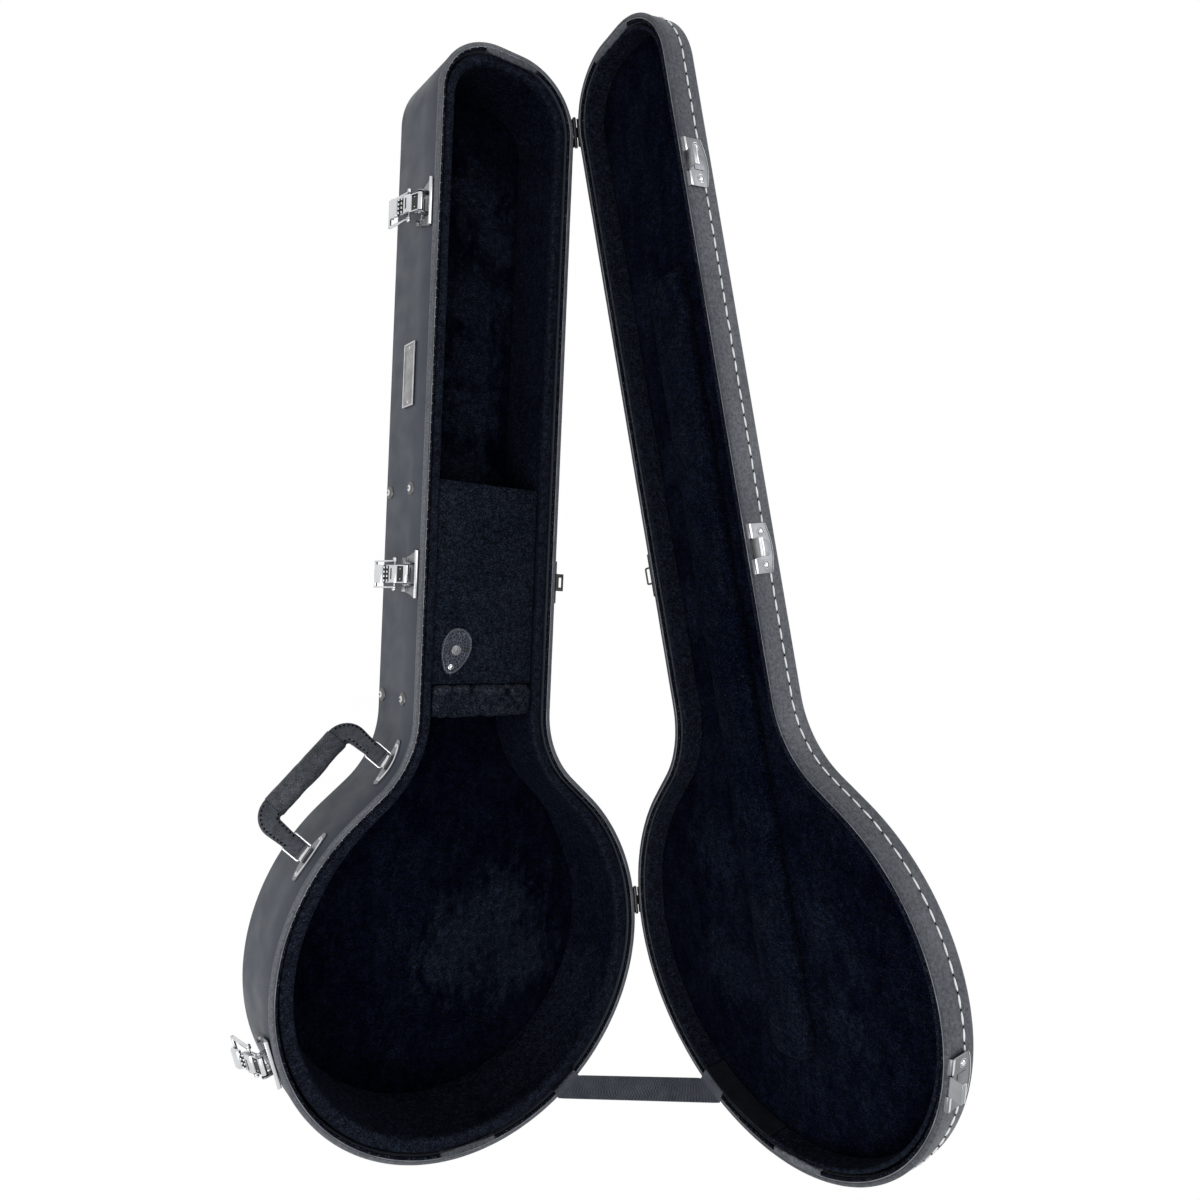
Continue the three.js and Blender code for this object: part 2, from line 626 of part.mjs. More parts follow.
function latchPlate() {
  const y0 = bead.proud + gap;
  const y1 = y0 + latch.plateThick;
  const right = [
    [latch.plateHalf, -latch.plateTop], [latch.plateHalf, -latch.shoulderTop],
    [latch.plateFoot, -latch.shoulderLow], [latch.plateFoot, -latch.plateLow],
  ];
  const shape = [...right, ...right.slice().reverse().map(([x, z]) => [-x, z])];
  const joined = [
    sheet(shape, y0, y1),
    box(-latch.plateHalf, latch.plateHalf, y0, latch.flangeOut,
      -latch.plateTop - latch.flangeThick, -latch.plateTop),
  ];
  for (const side of [-1, 1]) {
    const inner = latch.earInner;
    const outer = latch.earInner + latch.earThick;
    const xs = side < 0 ? [-outer, -inner] : [inner, outer];
    const zs = [-latch.pivotDown - latch.earRadius, -latch.pivotDown + latch.earRadius];
    joined.push(box(...xs, y0 + latch.plateThick / 2, latch.pivotOut, ...zs));
    joined.push(bar(latch.earRadius, ...xs, latch.pivotOut, -latch.pivotDown));
    const sunk = y1 - latch.plateThick / 2;
    joined.push(dome(latch.rivetRadius, latch.rivetHigh + latch.plateThick / 2,
      side * latch.rivetOut, sunk, -latch.rivetUp));
    joined.push(dome(latch.rivetRadius, latch.rivetHigh + latch.plateThick / 2,
      side * latch.rivetIn, sunk, -latch.rivetDown));
  }
  const reach = latch.earInner + latch.earThick + overrun;
  return carve(joined, [
    bar(lever.boreRadius, -reach, reach, latch.pivotOut, -latch.pivotDown),
  ]);
}

// Lever hanging straight down from its pivot at the origin.
function latchLever() {
  const h = lever.half;
  const joined = [
    bar(lever.barrelRadius, -h, h, 0, 0),
    box(-h, h, lever.faceOut, lever.faceOut + lever.thick, -lever.long, 0),
    bar(lever.curlRadius, -h, h, lever.faceOut + lever.curlRadius, -lever.long),
  ];
  for (const side of [-1, 1]) {
    const xs = side < 0 ? [-h, -h + lever.flangeThick] : [h - lever.flangeThick, h];
    joined.push(box(...xs, -lever.flangeIn, lever.faceOut + lever.thick / 2, -lever.flangeLong, 0));
  }
  return carve(joined, [
    bar(lever.boreRadius, -h - overrun, h + overrun, 0, 0),
    bar(bail.boreRadius, -h - overrun, h + overrun, -bail.pivotIn, -bail.pivotLong),
    box(-h - overrun, h + overrun, -lever.faceOut - lever.barrelRadius, -lever.flangeIn,
      -overrun, lever.barrelRadius + overrun),
  ]);
}

// Bail hanging straight down from its pivot at the origin, riveted to the pin that the lever carries.
function latchBail() {
  const inner = bail.armInner;
  const outer = bail.armInner + bail.armThick;
  const end = outer + bail.pinHeadHigh;
  const joined = [
    bar(bail.barRadius, -outer, outer, 0, -bail.long),
    bar(bail.pinRadius, -end, end, 0, 0, steps.wire),
  ];
  for (const side of [-1, 1]) {
    const xs = side < 0 ? [-outer, -inner] : [inner, outer];
    const head = side < 0 ? [-end, -outer] : [outer, end];
    joined.push(box(...xs, -bail.armHalf, bail.armHalf, -bail.long, 0));
    joined.push(bar(bail.eyeRadius, ...xs, 0, 0));
    joined.push(bar(bail.pinHeadRadius, ...head, 0, 0, steps.wire));
  }
  return carve(joined);
}

function headedPin(radius, reach, headRadius, headHigh, y, z) {
  const end = reach + headHigh;
  return carve([
    bar(radius, -end, end, y, z, steps.wire),
    bar(headRadius, -end, -reach, y, z, steps.wire),
    bar(headRadius, reach, end, y, z, steps.wire),
  ]);
}

function addLatch(name, point) {
  const frame = wallFrame(point, baseGroup);
  add(frame, `${name}_plate`, latchPlate(), chrome);
  const earEnd = latch.earInner + latch.earThick + gap;
  add(frame, `${name}_lever_pin`, headedPin(lever.pinRadius, earEnd, lever.pinHeadRadius,
    lever.pinHeadHigh, latch.pivotOut, -latch.pivotDown), chrome);

  const leverPivot = new THREE.Group();
  leverPivot.position.set(0, latch.pivotOut, -latch.pivotDown);
  leverPivot.rotation.x = rad(leverRestAngle);
  frame.add(leverPivot);
  add(leverPivot, `${name}_lever`, latchLever(), chrome);

  const bailPivot = new THREE.Group();
  bailPivot.position.set(0, -bail.pivotIn, -bail.pivotLong);
  bailPivot.rotation.x = rad(bailRestAngle);
  leverPivot.add(bailPivot);
  add(bailPivot, `${name}_bail`, latchBail(), chrome);

  add(wallFrame(point, lidGroup), `${name}_keeper`, latchKeeper(), chrome);
}

// Keeper on the lid: arched plate, two lips that follow the bead's rounding and a hook for the bail.
function latchKeeper() {
  const y0 = bead.proud + gap;
  const y1 = y0 + keeper.thick;
  const rim = gap / 2;
  const low = rim + bead.round;
  const arch = spread(1, -1, 8).map((s) => [
    s * keeper.half, keeper.high + (keeper.middleHigh - keeper.high) * (1 - s * s),
  ]);
  const shape = [...arch, [-keeper.half, low], [keeper.half, low]];
  const sunk = y1 - keeper.thick / 2;
  const turn = bead.round * turnShare;
  const clear = gap * Math.SQRT1_2;
  const joined = [sheet(shape, y0, y1)];
  for (const side of [-1, 1]) {
    const tip = side * keeper.half;
    const root = side * (keeper.half - keeper.lipLong);
    const xs = [Math.min(tip, root), Math.max(tip, root)];
    const fold = [
      [y0, low + keeper.thick], [y0, low],
      [bead.proud - turn + clear, rim + turn - clear],
      [y0 - gap - bead.round * foldShare, rim], [y0, rim], [y1, low - keeper.lipDrop],
      [y1, low + keeper.thick],
    ];
    joined.push(skin(xs.map((x) => fold.map(([y, z]) => v3(x, y, z)))));
    joined.push(dome(keeper.rivetRadius, keeper.rivetHigh + keeper.thick / 2,
      side * keeper.rivetOut, sunk, keeper.rivetUp));
  }
  const h = keeper.hookHalf;
  joined.push(box(-h, h, y0, y1, keeper.hookUp, low + keeper.thick));
  joined.push(box(-h, h, y0, keeper.hookOut, keeper.hookUp, keeper.hookUp + keeper.hookShelf));
  joined.push(box(-h, h, keeper.hookOut - keeper.hookLip, keeper.hookOut, keeper.hookUp,
    keeper.hookHigh));
  return carve(joined);
}

// Guides at the waist

function addGuides() {
  const point = neckPoint(guide.y);
  const y0 = bead.proud + gap;
  const y1 = y0 + guide.thick;
  const tabTop = -guide.tabDown;
  const tabLow = tabTop - guide.tabThick;
  const basePlate = carve([
    box(-guide.half, guide.half, y0, y1, tabLow - guide.high, tabLow),
    box(-guide.tabHalf, guide.tabHalf, y0, guide.tabOut, tabLow - guide.tabThick / 2, tabTop),
  ], [
    box(-guide.slotHalf, guide.slotHalf, guide.slotIn, guide.slotOut, tabLow - guide.tabThick, 0),
  ]);
  add(wallFrame(point, baseGroup), "waist_guide_tab", basePlate, darkMetal);

  const wire = guide.wireRadius;
  const bend = [[-1, -1], [-1, 1], [1, 1], [1, -1]].map(([sx, sy]) => v3(
    sx * guide.loopHalf, sy < 0 ? y0 + guide.thick / 2 : guide.loopOut, guide.loopUp,
  ));
  const low = guide.loopUp - wire;
  add(wallFrame(point, lidGroup), "waist_guide_loop", carve([
    box(-guide.half, guide.half, y0, y1, low, low + guide.high),
    wireAlong(bend, wire, wireBendShare * wire),
  ]), darkMetal);
}

// Wire through corner points with rounded bends.
function wireAlong(points, radius, bendRadius, { closed = false } = {}) {
  const bends = points.map((p, i) => {
    const before = points[(i + points.length - 1) % points.length];
    const after = points[(i + 1) % points.length];
    const into = p.clone().sub(before).normalize().multiplyScalar(bendRadius);
    const out = after.clone().sub(p).normalize().multiplyScalar(bendRadius);
    return { start: p.clone().sub(into), corner: p, end: p.clone().add(out) };
  });
  const rings = [];
  const turning = closed ? bends : bends.slice(1, -1);
  if (!closed) rings.push(points[0].clone());
  for (const b of turning) {
    const curve = new THREE.QuadraticBezierCurve3(b.start, b.corner, b.end);
    rings.push(...curve.getPoints(3));
  }
  if (!closed) rings.push(points.at(-1).clone());
  return tube(rings, () => [radius, radius], steps.wire, closed);
}

// Tube with an oval section through a row of points that lie in one plane.
function tube(points, halves, sides, closed = false) {
  const middle = points.reduce((s, p) => s.add(p), v3(0, 0, 0)).divideScalar(points.length);
  const flat = v3(0, 0, 0);
  points.forEach((p, i) => {
    const q = points[(i + 1) % points.length];
    flat.add(p.clone().sub(middle).cross(q.clone().sub(middle)));
  });
  flat.normalize();
  const loops = points.map((p, i) => {
    const last = points.length - 1;
    const before = points[i === 0 ? (closed ? last : 0) : i - 1];
    const after = points[i === last ? (closed ? 0 : last) : i + 1];
    const ahead = after.clone().sub(before).normalize();
    const side = ahead.clone().cross(flat);
    const [a, b] = halves(i);
    return spread(0, 360, sides).slice(0, -1).map((angle) => p.clone()
      .addScaledVector(side, a * Math.cos(rad(angle)))
      .addScaledVector(flat, b * Math.sin(rad(angle))));
  });
  return skin(loops, { closed });
}

// Handle

// Wall points under the two handle plates on the latch side.
function handleSeats() {
  const upperAngle = rad(handle.upperAngle);
  const lowerAngle = rad(handle.lowerAngle);
  const body = { x: 0, y: 0 };
  return {
    upper: {
      point: mirrored(waistPoint(upperAngle)),
      at: (s) => waistPoint(upperAngle - s / waistFillet),
    },
    lower: {
      point: mirrored(circlePoint(body, bodyRadius, lowerAngle)),
      at: (s) => circlePoint(body, bodyRadius, lowerAngle + s / bodyRadius),
    },
  };
}
const seats = handleSeats();
const seatPoint = (seat) => v3(
  seat.point.x + seat.point.nx * handle.axisOut,
  seat.point.y + seat.point.ny * handle.axisOut,
  handle.z,
);
const upperPivot = seatPoint(seats.upper);
const lowerPivot = seatPoint(seats.lower);

// Frame on the pivot axis: X along the axis, Y straight out from the case, Z up.
function handleFrame(parent) {
  const middle = upperPivot.clone().add(lowerPivot).divideScalar(2);
  const axis = upperPivot.clone().sub(lowerPivot);
  const frame = new THREE.Group();
  frame.position.copy(middle);
  frame.rotation.z = Math.atan2(axis.y, axis.x);
  parent.add(frame);
  return frame;
}
const handleReach = upperPivot.distanceTo(lowerPivot) / 2;
const gripHalfLong = handleReach - handle.cornerRadius - 2 * gap;

// Lens-shaped plate that follows the wall, with a bridge bored along the handle's axis.
function handlePlate(seat, side) {
  const shares = spread(-1, 1, 10);
  const section = (s, half, out) => {
    const p = mirrored(seat.at(s));
    return [[0, -half], [out, -half], [out, half], [0, half]]
      .map(([d, z]) => inset(p, -gap - d, handle.z + z));
  };
  const lens = skin(shares.map((t) => section(
    t * handle.plateHalf,
    handle.plateEnd + (handle.plateHigh - handle.plateEnd) * (1 - t * t),
    handle.plateThick,
  )));
  const over = handle.axisOut + handle.bridgeOver;
  const bridge = skin(spread(-1, 1, 2).map((t) => section(
    t * handle.bridgeHalf, handle.bridgeHigh, over,
  )));
  const bore = bar(handle.boreRadius, -handle.plateHalf, handle.plateHalf, 0, 0);
  const axis = upperPivot.clone().sub(lowerPivot);
  bore.rotateZ(Math.atan2(axis.y, axis.x));
  const at = side > 0 ? upperPivot : lowerPivot;
  bore.translate(at.x, at.y, at.z);
  return carve([lens, bridge], [bore]);
}

// Stitched leather end in the handle's frame: a wide thin tab at the ring that turns and fills out
// into the grip. Side is -1 or 1 along X.
function handleEnd(side) {
  const postX = handleReach;
  const turnX = postX - handle.cornerRadius;
  const turnY = handle.gripOut - handle.cornerRadius;
  const share = (i, count) => i / count;
  const filling = handle.cornerThickHalf - handle.tabThickHalf;
  const straight = spread(handle.tabStart, turnY, 4).map((y, i) => ({
    at: [postX, y],
    half: handle.tabHalf + (handle.postHalf - handle.tabHalf) * share(i, 4),
    thick: handle.tabThickHalf + filling * share(i, 4) ** handle.taperPower,
  }));
  const slim = handle.gripRadius - handle.sleeve;
  const bend = spread(0, 90, 6).slice(1).map((a, i) => ({
    at: [
      turnX + handle.cornerRadius * Math.cos(rad(a)),
      turnY + handle.cornerRadius * Math.sin(rad(a)),
    ],
    half: handle.postHalf + (slim - handle.postHalf) * share(i + 1, 6),
    thick: handle.cornerThickHalf
      + (handle.gripFlat - handle.sleeve - handle.cornerThickHalf) * share(i + 1, 6),
  }));
  const stations = [
    ...straight, ...bend,
    {
      at: [gripHalfLong + gap, handle.gripOut],
      half: slim,
      thick: handle.gripFlat - handle.sleeve,
    },
  ];
  const points = stations.map(({ at: [x, y] }) => v3(side * x, y, 0));
  const body = tube(points, (i) => [stations[i].half, stations[i].thick], 14);
  const hole = bar(handle.boreRadius, -handle.ringHalf - overrun, handle.ringHalf + overrun,
    handle.ringLong, 0, steps.wire).translate(side * postX, 0, 0);
  return carve([body], [hole]);
}

function handleRing(side) {
  const corners = [[-1, 0], [-1, 1], [1, 1], [1, 0]].map(([sx, sy]) =>
    v3(side * handleReach + sx * handle.ringHalf, sy * handle.ringLong, 0));
  return wireAlong(corners, handle.wireRadius, wireBendShare * handle.wireRadius, { closed: true });
}

function handleGrip() {
  const stations = spread(-1, 1, steps.grip);
  const points = stations.map((s) => v3(s * gripHalfLong, handle.gripOut, 0));
  const loops = points.map((p, i) => {
    const ease = handle.waistIn * (1 - stations[i] ** 2);
    return spread(0, 360, 16).slice(0, -1).map((a) => v3(
      p.x,
      p.y + Math.cos(rad(a))
        * (handle.gripRadius - ease * (Math.cos(rad(a)) < 0 ? 1 : handle.outerEaseShare)),
      Math.sin(rad(a)) * (handle.gripFlat + ease * handle.flatEaseShare),
    ));
  });
  return skin(loops);
}

function addHandle() {
  add(baseGroup, "handle_upper_plate", handlePlate(seats.upper, 1), chrome);
  add(baseGroup, "handle_lower_plate", handlePlate(seats.lower, -1), chrome);
  const swing = handleFrame(baseGroup);
  const droop = new THREE.Group();
  droop.rotation.x = rad(-handleDroopAngle);
  swing.add(droop);
  add(droop, "handle_upper_ring", handleRing(1), chrome);
  add(droop, "handle_lower_ring", handleRing(-1), chrome);
  add(droop, "handle_upper_end", handleEnd(1), leather);
  add(droop, "handle_lower_end", handleEnd(-1), leather);
  add(droop, "handle_grip", handleGrip(), leather);
}

// Name plate and wall screws

function addWallFittings() {
  const frame = wallFrame(mirrored(neckPoint(plate.y)), baseGroup);
  const loop = (shrink, y) => [[-1, -1], [1, -1], [1, 1], [-1, 1]].map(([sx, sz]) =>
    v3(sx * (plate.half - shrink), y, -plate.below + sz * (plate.halfHigh - shrink)));
  const face = gap + plate.thick;
  const joined = [skin([loop(0, gap), loop(0, face - plate.bevel), loop(plate.bevel, face)])];
  for (const side of [-1, 1]) {
    joined.push(dome(plate.pinRadius, plate.pinHigh + plate.thick / 2, side * plate.pinOut,
      face - plate.thick / 2, -plate.below));
  }
  add(frame, "name_plate", carve(joined), chrome);

  const washer = washerShares.map(([r, h]) =>
    new THREE.Vector2(r * screw.washerRadius, h * screw.washerHigh));
  const crown = crownShares.map(([r, h]) =>
    new THREE.Vector2(r * screw.headRadius, screw.washerHigh + h * screw.domeHigh));
  const topY = screw.washerHigh + screw.domeHigh;
  const socket = [
    new THREE.Vector2(screw.socketRadius, topY - screw.socketDeep),
    new THREE.Vector2(0, topY - screw.socketDeep),
  ];
  const profile = [...washer, ...crown, ...socket];
  let number = 1;
  for (const y of screwYs) {
    const seat = wallFrame(mirrored(neckPoint(y)), baseGroup);
    for (const z of screwZs) {
      const shape = new THREE.LatheGeometry(profile, steps.wire).translate(0, gap, z - baseDepth);
      add(seat, `wall_screw_${number}`, carve([shape]), chrome);
      number += 1;
    }
  }
}

// Stay strap

// Flat band through a row of [upper edge, lower edge] point pairs.
function band(edges, thick) {
  const loops = edges.map(([high, low], i) => {
    const before = edges[Math.max(i - 1, 0)];
    const after = edges[Math.min(i + 1, edges.length - 1)];
    const ahead = after[0].clone().add(after[1]).sub(before[0]).sub(before[1]).normalize();
    const across = high.clone().sub(low).normalize();
    const normal = across.cross(ahead).normalize().multiplyScalar(thick / 2);
    return [
      high.clone().add(normal), high.clone().sub(normal),
      low.clone().sub(normal), low.clone().add(normal),
    ];
  });
  return skin(loops);
}

function addStrap() {
  const near = wall + gap;
  const far = near + strap.thick;
  const topZ = baseRim - strap.endBelow;
  add(baseGroup, "strap_base_end", strip(clipRun(azimuth, strapLowAngle, strapHighAngle), [
    [near, topZ - strap.endDeep], [near, topZ], [far, topZ], [far, topZ - strap.endDeep],
  ]), webbing);

  const inner = lidLiningFace + gap;
  const tailLow = lidRim + strap.tailBelow;
  const tailHigh = Math.min(tailLow + strap.wide, caseHigh - wall - gap - lining.lidTop - gap);
  const tailProfile = [
    [inner, tailLow], [inner, tailHigh],
    [inner + strap.thick, tailHigh], [inner + strap.thick, tailLow],
  ];
  add(lidGroup, "strap_lid_end",
    strip(clipRun(azimuth, strapTailEndAngle, strapHighAngle), tailProfile), webbing);

  const pair = (depth, z) =>
    [strapHighAngle, strapLowAngle].map((a) => inset(rimAt(a), depth, z));
  const lift = strap.thick / 2 + strap.spanLift;
  const baseSide = [
    pair((near + far) / 2, topZ + gap), pair((near + far) / 2, baseRim + lift),
    pair(0, baseRim + lift),
  ];
  const lidSide = [
    pair(0, lidRim - lift), pair(wall + gap, lidRim - lift),
    pair(inner + strap.thick / 2, tailLow - gap - strap.thick / 2),
  ].map((edge) => edge.map(opened));
  add(baseGroup, "strap_span", band([...baseSide, ...lidSide], strap.thick), webbing);
}

addShells();
addLinings();
addNeckFittings();
addHinge("lower_hinge", 0);
addHinge("upper_hinge", cornerCentre.x * hingeAxis.x + cornerCentre.y * hingeAxis.y);
addLatch("head_latch", mirrored(neckPoint(latch.headY)));
addLatch("waist_latch", mirrored(neckPoint(latch.waistY)));
addLatch("tail_latch", mirrored(ellipsePoint(tailLatchAngle)));
addGuides();
addHandle();
addWallFittings();
addStrap();

export default banjoCase;
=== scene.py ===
import json
import math

import bmesh
import bpy
import numpy as np
from mathutils import Matrix, Vector, noise


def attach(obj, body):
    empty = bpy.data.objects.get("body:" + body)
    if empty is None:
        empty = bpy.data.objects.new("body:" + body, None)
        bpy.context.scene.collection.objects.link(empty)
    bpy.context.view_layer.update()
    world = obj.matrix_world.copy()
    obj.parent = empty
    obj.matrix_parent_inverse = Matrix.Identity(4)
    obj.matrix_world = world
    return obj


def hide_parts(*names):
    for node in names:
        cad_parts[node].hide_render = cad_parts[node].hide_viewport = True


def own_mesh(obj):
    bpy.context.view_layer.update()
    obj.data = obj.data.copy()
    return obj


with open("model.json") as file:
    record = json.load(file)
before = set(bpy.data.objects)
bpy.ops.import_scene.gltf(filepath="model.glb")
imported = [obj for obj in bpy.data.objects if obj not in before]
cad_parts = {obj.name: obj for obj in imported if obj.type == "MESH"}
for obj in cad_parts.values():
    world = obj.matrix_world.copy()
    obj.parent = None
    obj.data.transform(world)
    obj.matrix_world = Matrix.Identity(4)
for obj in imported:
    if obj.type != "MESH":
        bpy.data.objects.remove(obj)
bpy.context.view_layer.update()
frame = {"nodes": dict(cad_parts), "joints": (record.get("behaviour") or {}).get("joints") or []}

MM = 0.001

# Camera, from the photograph's own vanishing lines and outline.
CAMERA_AT = (-0.42905, 0.33732, 0.87677)
CAMERA_RIGHT = (0.81306, 0.03832, 0.58092)
CAMERA_UP = (-0.04128, 0.99911, -0.00814)
CAMERA_BACK = (-0.58071, -0.01736, 0.81392)
FOCAL_PIXELS = 911.53
IMAGE_PIXELS = 1200
SENSOR_WIDTH = 36

# Case outline and levels in millimetres, as in the part's source.
BODY_RADIUS = 195.0
TAIL_RADIUS = 187.6
HEAD_Y = 889.4
NECK_HALF_AT_BODY = 74.0
NECK_HALF_AT_HEAD = 76.0
SHOULDER_ANGLE = 48.55
WAIST_FILLET = 92.9
HEAD_CORNER = 63.5
WALL = 7.0
BASE_DEPTH = 92.0
CASE_HIGH = 126.0
BASE_RIM = 91.85
LID_RIM = 92.15
BEAD_HIGH = 3.0
BEAD_PROUD = 0.3
LINING_BACK = 9.1
BASE_LINING_FACE = 18.5
LID_LINING_FACE = 13.1
LINING_TOP = 88.0
FLOOR_TOP = 12.0
LID_LINING_LOW = 95.0
LID_CEILING = 118.7
LID_CEILING_FACE = 116.2
REST_TAIL_Y = 234.0
REST_HEAD_Y = 265.7
LEDGE_Z = 77.7
PLAY = 0.3  # clearance that touching pieces keep
LIP_HALF = 30.0
LATCH_YS = {"head": 720, "waist": 369.4}
TAIL_LATCH_ANGLE = -17
PIVOT_OUT, PIVOT_DOWN = 9.0, 13.0
LEVER_REST, BAIL_REST = 20, -10
SCREW_YS, SCREW_ZS = (251, 452), (13, 63)
NAME_PLATE_Y, NAME_PLATE_DOWN = 563, 41.5
STRAP_HIGH_ANGLE, STRAP_LOW_ANGLE, STRAP_TAIL_ANGLE = -48.6, -57.5, -78
STITCH_Z = 111.3

# Lid pivot, as packed.
LID_JOINT = next(j for j in frame["joints"] if j["name"] == "lid_hinge")
LID_OPEN = math.radians(87.8)
HINGE_AT = Vector(LID_JOINT["pos_m"]) / MM
HINGE_AXIS = Vector(LID_JOINT["axis"]).normalized()
OPEN_LID = (
    Matrix.Translation(HINGE_AT)
    @ Matrix.Rotation(LID_OPEN, 4, HINGE_AXIS)
    @ Matrix.Translation(-HINGE_AT)
)
HERE = Matrix.Identity(4)


# ---------------------------------------------------------------- outline


def neck_half(y):
    slope = (NECK_HALF_AT_HEAD - NECK_HALF_AT_BODY) / (HEAD_Y - BODY_RADIUS)
    return NECK_HALF_AT_BODY + slope * (y - BODY_RADIUS)


NECK_SLOPE = (NECK_HALF_AT_HEAD - NECK_HALF_AT_BODY) / (HEAD_Y - BODY_RADIUS)
NECK_LENGTH = math.hypot(1, NECK_SLOPE)
NECK_NORMAL = (1 / NECK_LENGTH, -NECK_SLOPE / NECK_LENGTH)
CORNER_CENTRE = (
    neck_half(HEAD_Y - HEAD_CORNER) - HEAD_CORNER * NECK_LENGTH,
    HEAD_Y - HEAD_CORNER,
)


def waist_centre():
    a = math.radians(SHOULDER_ANGLE)
    start = (BODY_RADIUS * math.cos(a), BODY_RADIUS * math.sin(a))
    t = (-math.sin(a), math.cos(a))
    reach = (neck_half(start[1]) - start[0]) / (t[0] - NECK_SLOPE * t[1])
    meet = (start[0] + reach * t[0], start[1] + reach * t[1])
    cosine = t[0] * -NECK_NORMAL[1] + t[1] * NECK_NORMAL[0]
    back = WAIST_FILLET * math.tan(math.acos(cosine) / 2)
    return (
        meet[0] - back * t[0] + WAIST_FILLET * math.cos(a),
        meet[1] - back * t[1] + WAIST_FILLET * math.sin(a),
    )


WAIST_CENTRE = waist_centre()


def tail_point(degrees):
    a = math.radians(degrees)
    n = Vector((math.cos(a) / BODY_RADIUS, math.sin(a) / TAIL_RADIUS)).normalized()
    return (BODY_RADIUS * math.cos(a), TAIL_RADIUS * math.sin(a), n.x, n.y)


def round_point(centre, radius, angle):
    c, s = math.cos(angle), math.sin(angle)
    return (centre[0] + radius * c, centre[1] + radius * s, c, s)


def waist_point(angle):
    c, s = math.cos(angle), math.sin(angle)
    return (WAIST_CENTRE[0] - WAIST_FILLET * c, WAIST_CENTRE[1] - WAIST_FILLET * s, c, s)


def mirror(p):
    return (-p[0], p[1], -p[2], p[3])


def between(a, b, share):
    return tuple(u + (v - u) * share for u, v in zip(a, b))


def half_outline():
    """The +X half of the outline from tail to head, as points with outward normals."""
    shoulder = math.radians(SHOULDER_ANGLE)
    head_angle = math.atan2(NECK_NORMAL[1], NECK_NORMAL[0])
    run = [tail_point(-90 + 90 * i / 60) for i in range(61)]
    run += [round_point((0, 0), BODY_RADIUS, shoulder * i / 36) for i in range(1, 37)]
    waist = [
        waist_point(shoulder + (head_angle - shoulder) * i / 24) for i in range(25)
    ]
    corner = [
        round_point(CORNER_CENTRE, HEAD_CORNER,
                    head_angle + (math.pi / 2 - head_angle) * i / 24)
        for i in range(25)
    ]
    run += [between(run[-1], waist[0], i / 10) for i in range(1, 10)]
    run += waist
    run += [between(waist[-1], corner[0], i / 64) for i in range(1, 64)]
    run += corner
    end = (0.0, HEAD_Y, 0.0, 1.0)
    run += [between(corner[-1], end, i / 4) for i in range(1, 5)]
    return run


HALF = half_outline()
OUTLINE = HALF + [mirror(p) for p in HALF[1:-1][::-1]]


def azimuth(p):
    return math.degrees(math.atan2(p[1], p[0]))


def height(p):
    return p[1]


def clip_run(measure, low, high):
    """The part of the +X half on which a rising measure lies between two values."""
    run = []
    for p, q in zip(HALF, HALF[1:] + [None]):
        here = measure(p)
        if low < here < high:
            run.append(p)
        if q is None:
            continue
        there = measure(q)
        if here <= low < there:
            run.append(between(p, q, (low - here) / (there - here)))
        if here < high <= there:
            run.append(between(p, q, (high - here) / (there - here)))
    return run


def past_tail(run):
    side = [p for p in run if p[0] > 1e-6]
    return side[::-1] + [HALF[0]] + [mirror(p) for p in side]


def past_head(run):
    side = [p for p in run if p[0] > 1e-6]
    return side + [HALF[-1]] + [mirror(p) for p in side[::-1]]


def inset(p, depth, z):
    return (p[0] - p[2] * depth, p[1] - p[3] * depth, z)


def wall_frame(p):
    """X runs along the rim, Y out from the wall and Z up from the rim plane."""
    x, y, nx, ny = p
    return Matrix(((ny, nx, 0, x), (-nx, ny, 0, y), (0, 0, 1, BASE_DEPTH), (0, 0, 0, 1)))


def neck_point(y):
    return (neck_half(y), y, NECK_NORMAL[0], NECK_NORMAL[1])


# ---------------------------------------------------------------- mesh tools


def arc(cx, cz, radius, first, last, steps):
    turn = [math.radians(first + (last - first) * i / steps) for i in range(steps + 1)]
    return [(cx + radius * math.cos(a), cz + radius * math.sin(a)) for a in turn]


def finer(points, longest, closed=False):
    """Adds points so that no stretch is longer than a given length."""
    out = []
    pairs = list(zip(points, points[1:] + ([points[0]] if closed else [])))
    for a, b in pairs:
        count = max(1, math.ceil(math.dist(a, b) / longest))
        out += [between(a, b, i / count) for i in range(count)]
    if not closed:
        out.append(points[-1])
    return out


def even_loop(points, count):
    """The same closed line through a fixed number of points, with its corners kept."""
    lengths = [math.dist(a, b) for a, b in zip(points, points[1:] + points[:1])]
    spare, total = count - len(points), sum(lengths)
    shares = [length / total * spare for length in lengths]
    extra = [int(share) for share in shares]
    order = sorted(range(len(points)), key=lambda i: extra[i] - shares[i])
    for i in order[:spare - sum(extra)]:
        extra[i] += 1
    out = []
    for a, b, more in zip(points, points[1:] + points[:1], extra):
        out += [between(a, b, i / (more + 1)) for i in range(more + 1)]
    return out


def shown(name, data):
    """An object that holds the data, put into the scene."""
    item = bpy.data.objects.new(name, data)
    bpy.context.scene.collection.objects.link(item)
    return item


def smoothed(mesh, crease=None):
    """Shades a mesh smooth, up to a crease angle in degrees."""
    mesh.polygons.foreach_set("use_smooth", [True] * len(mesh.polygons))
    if crease:
        mesh.set_sharp_from_angle(angle=math.radians(crease))


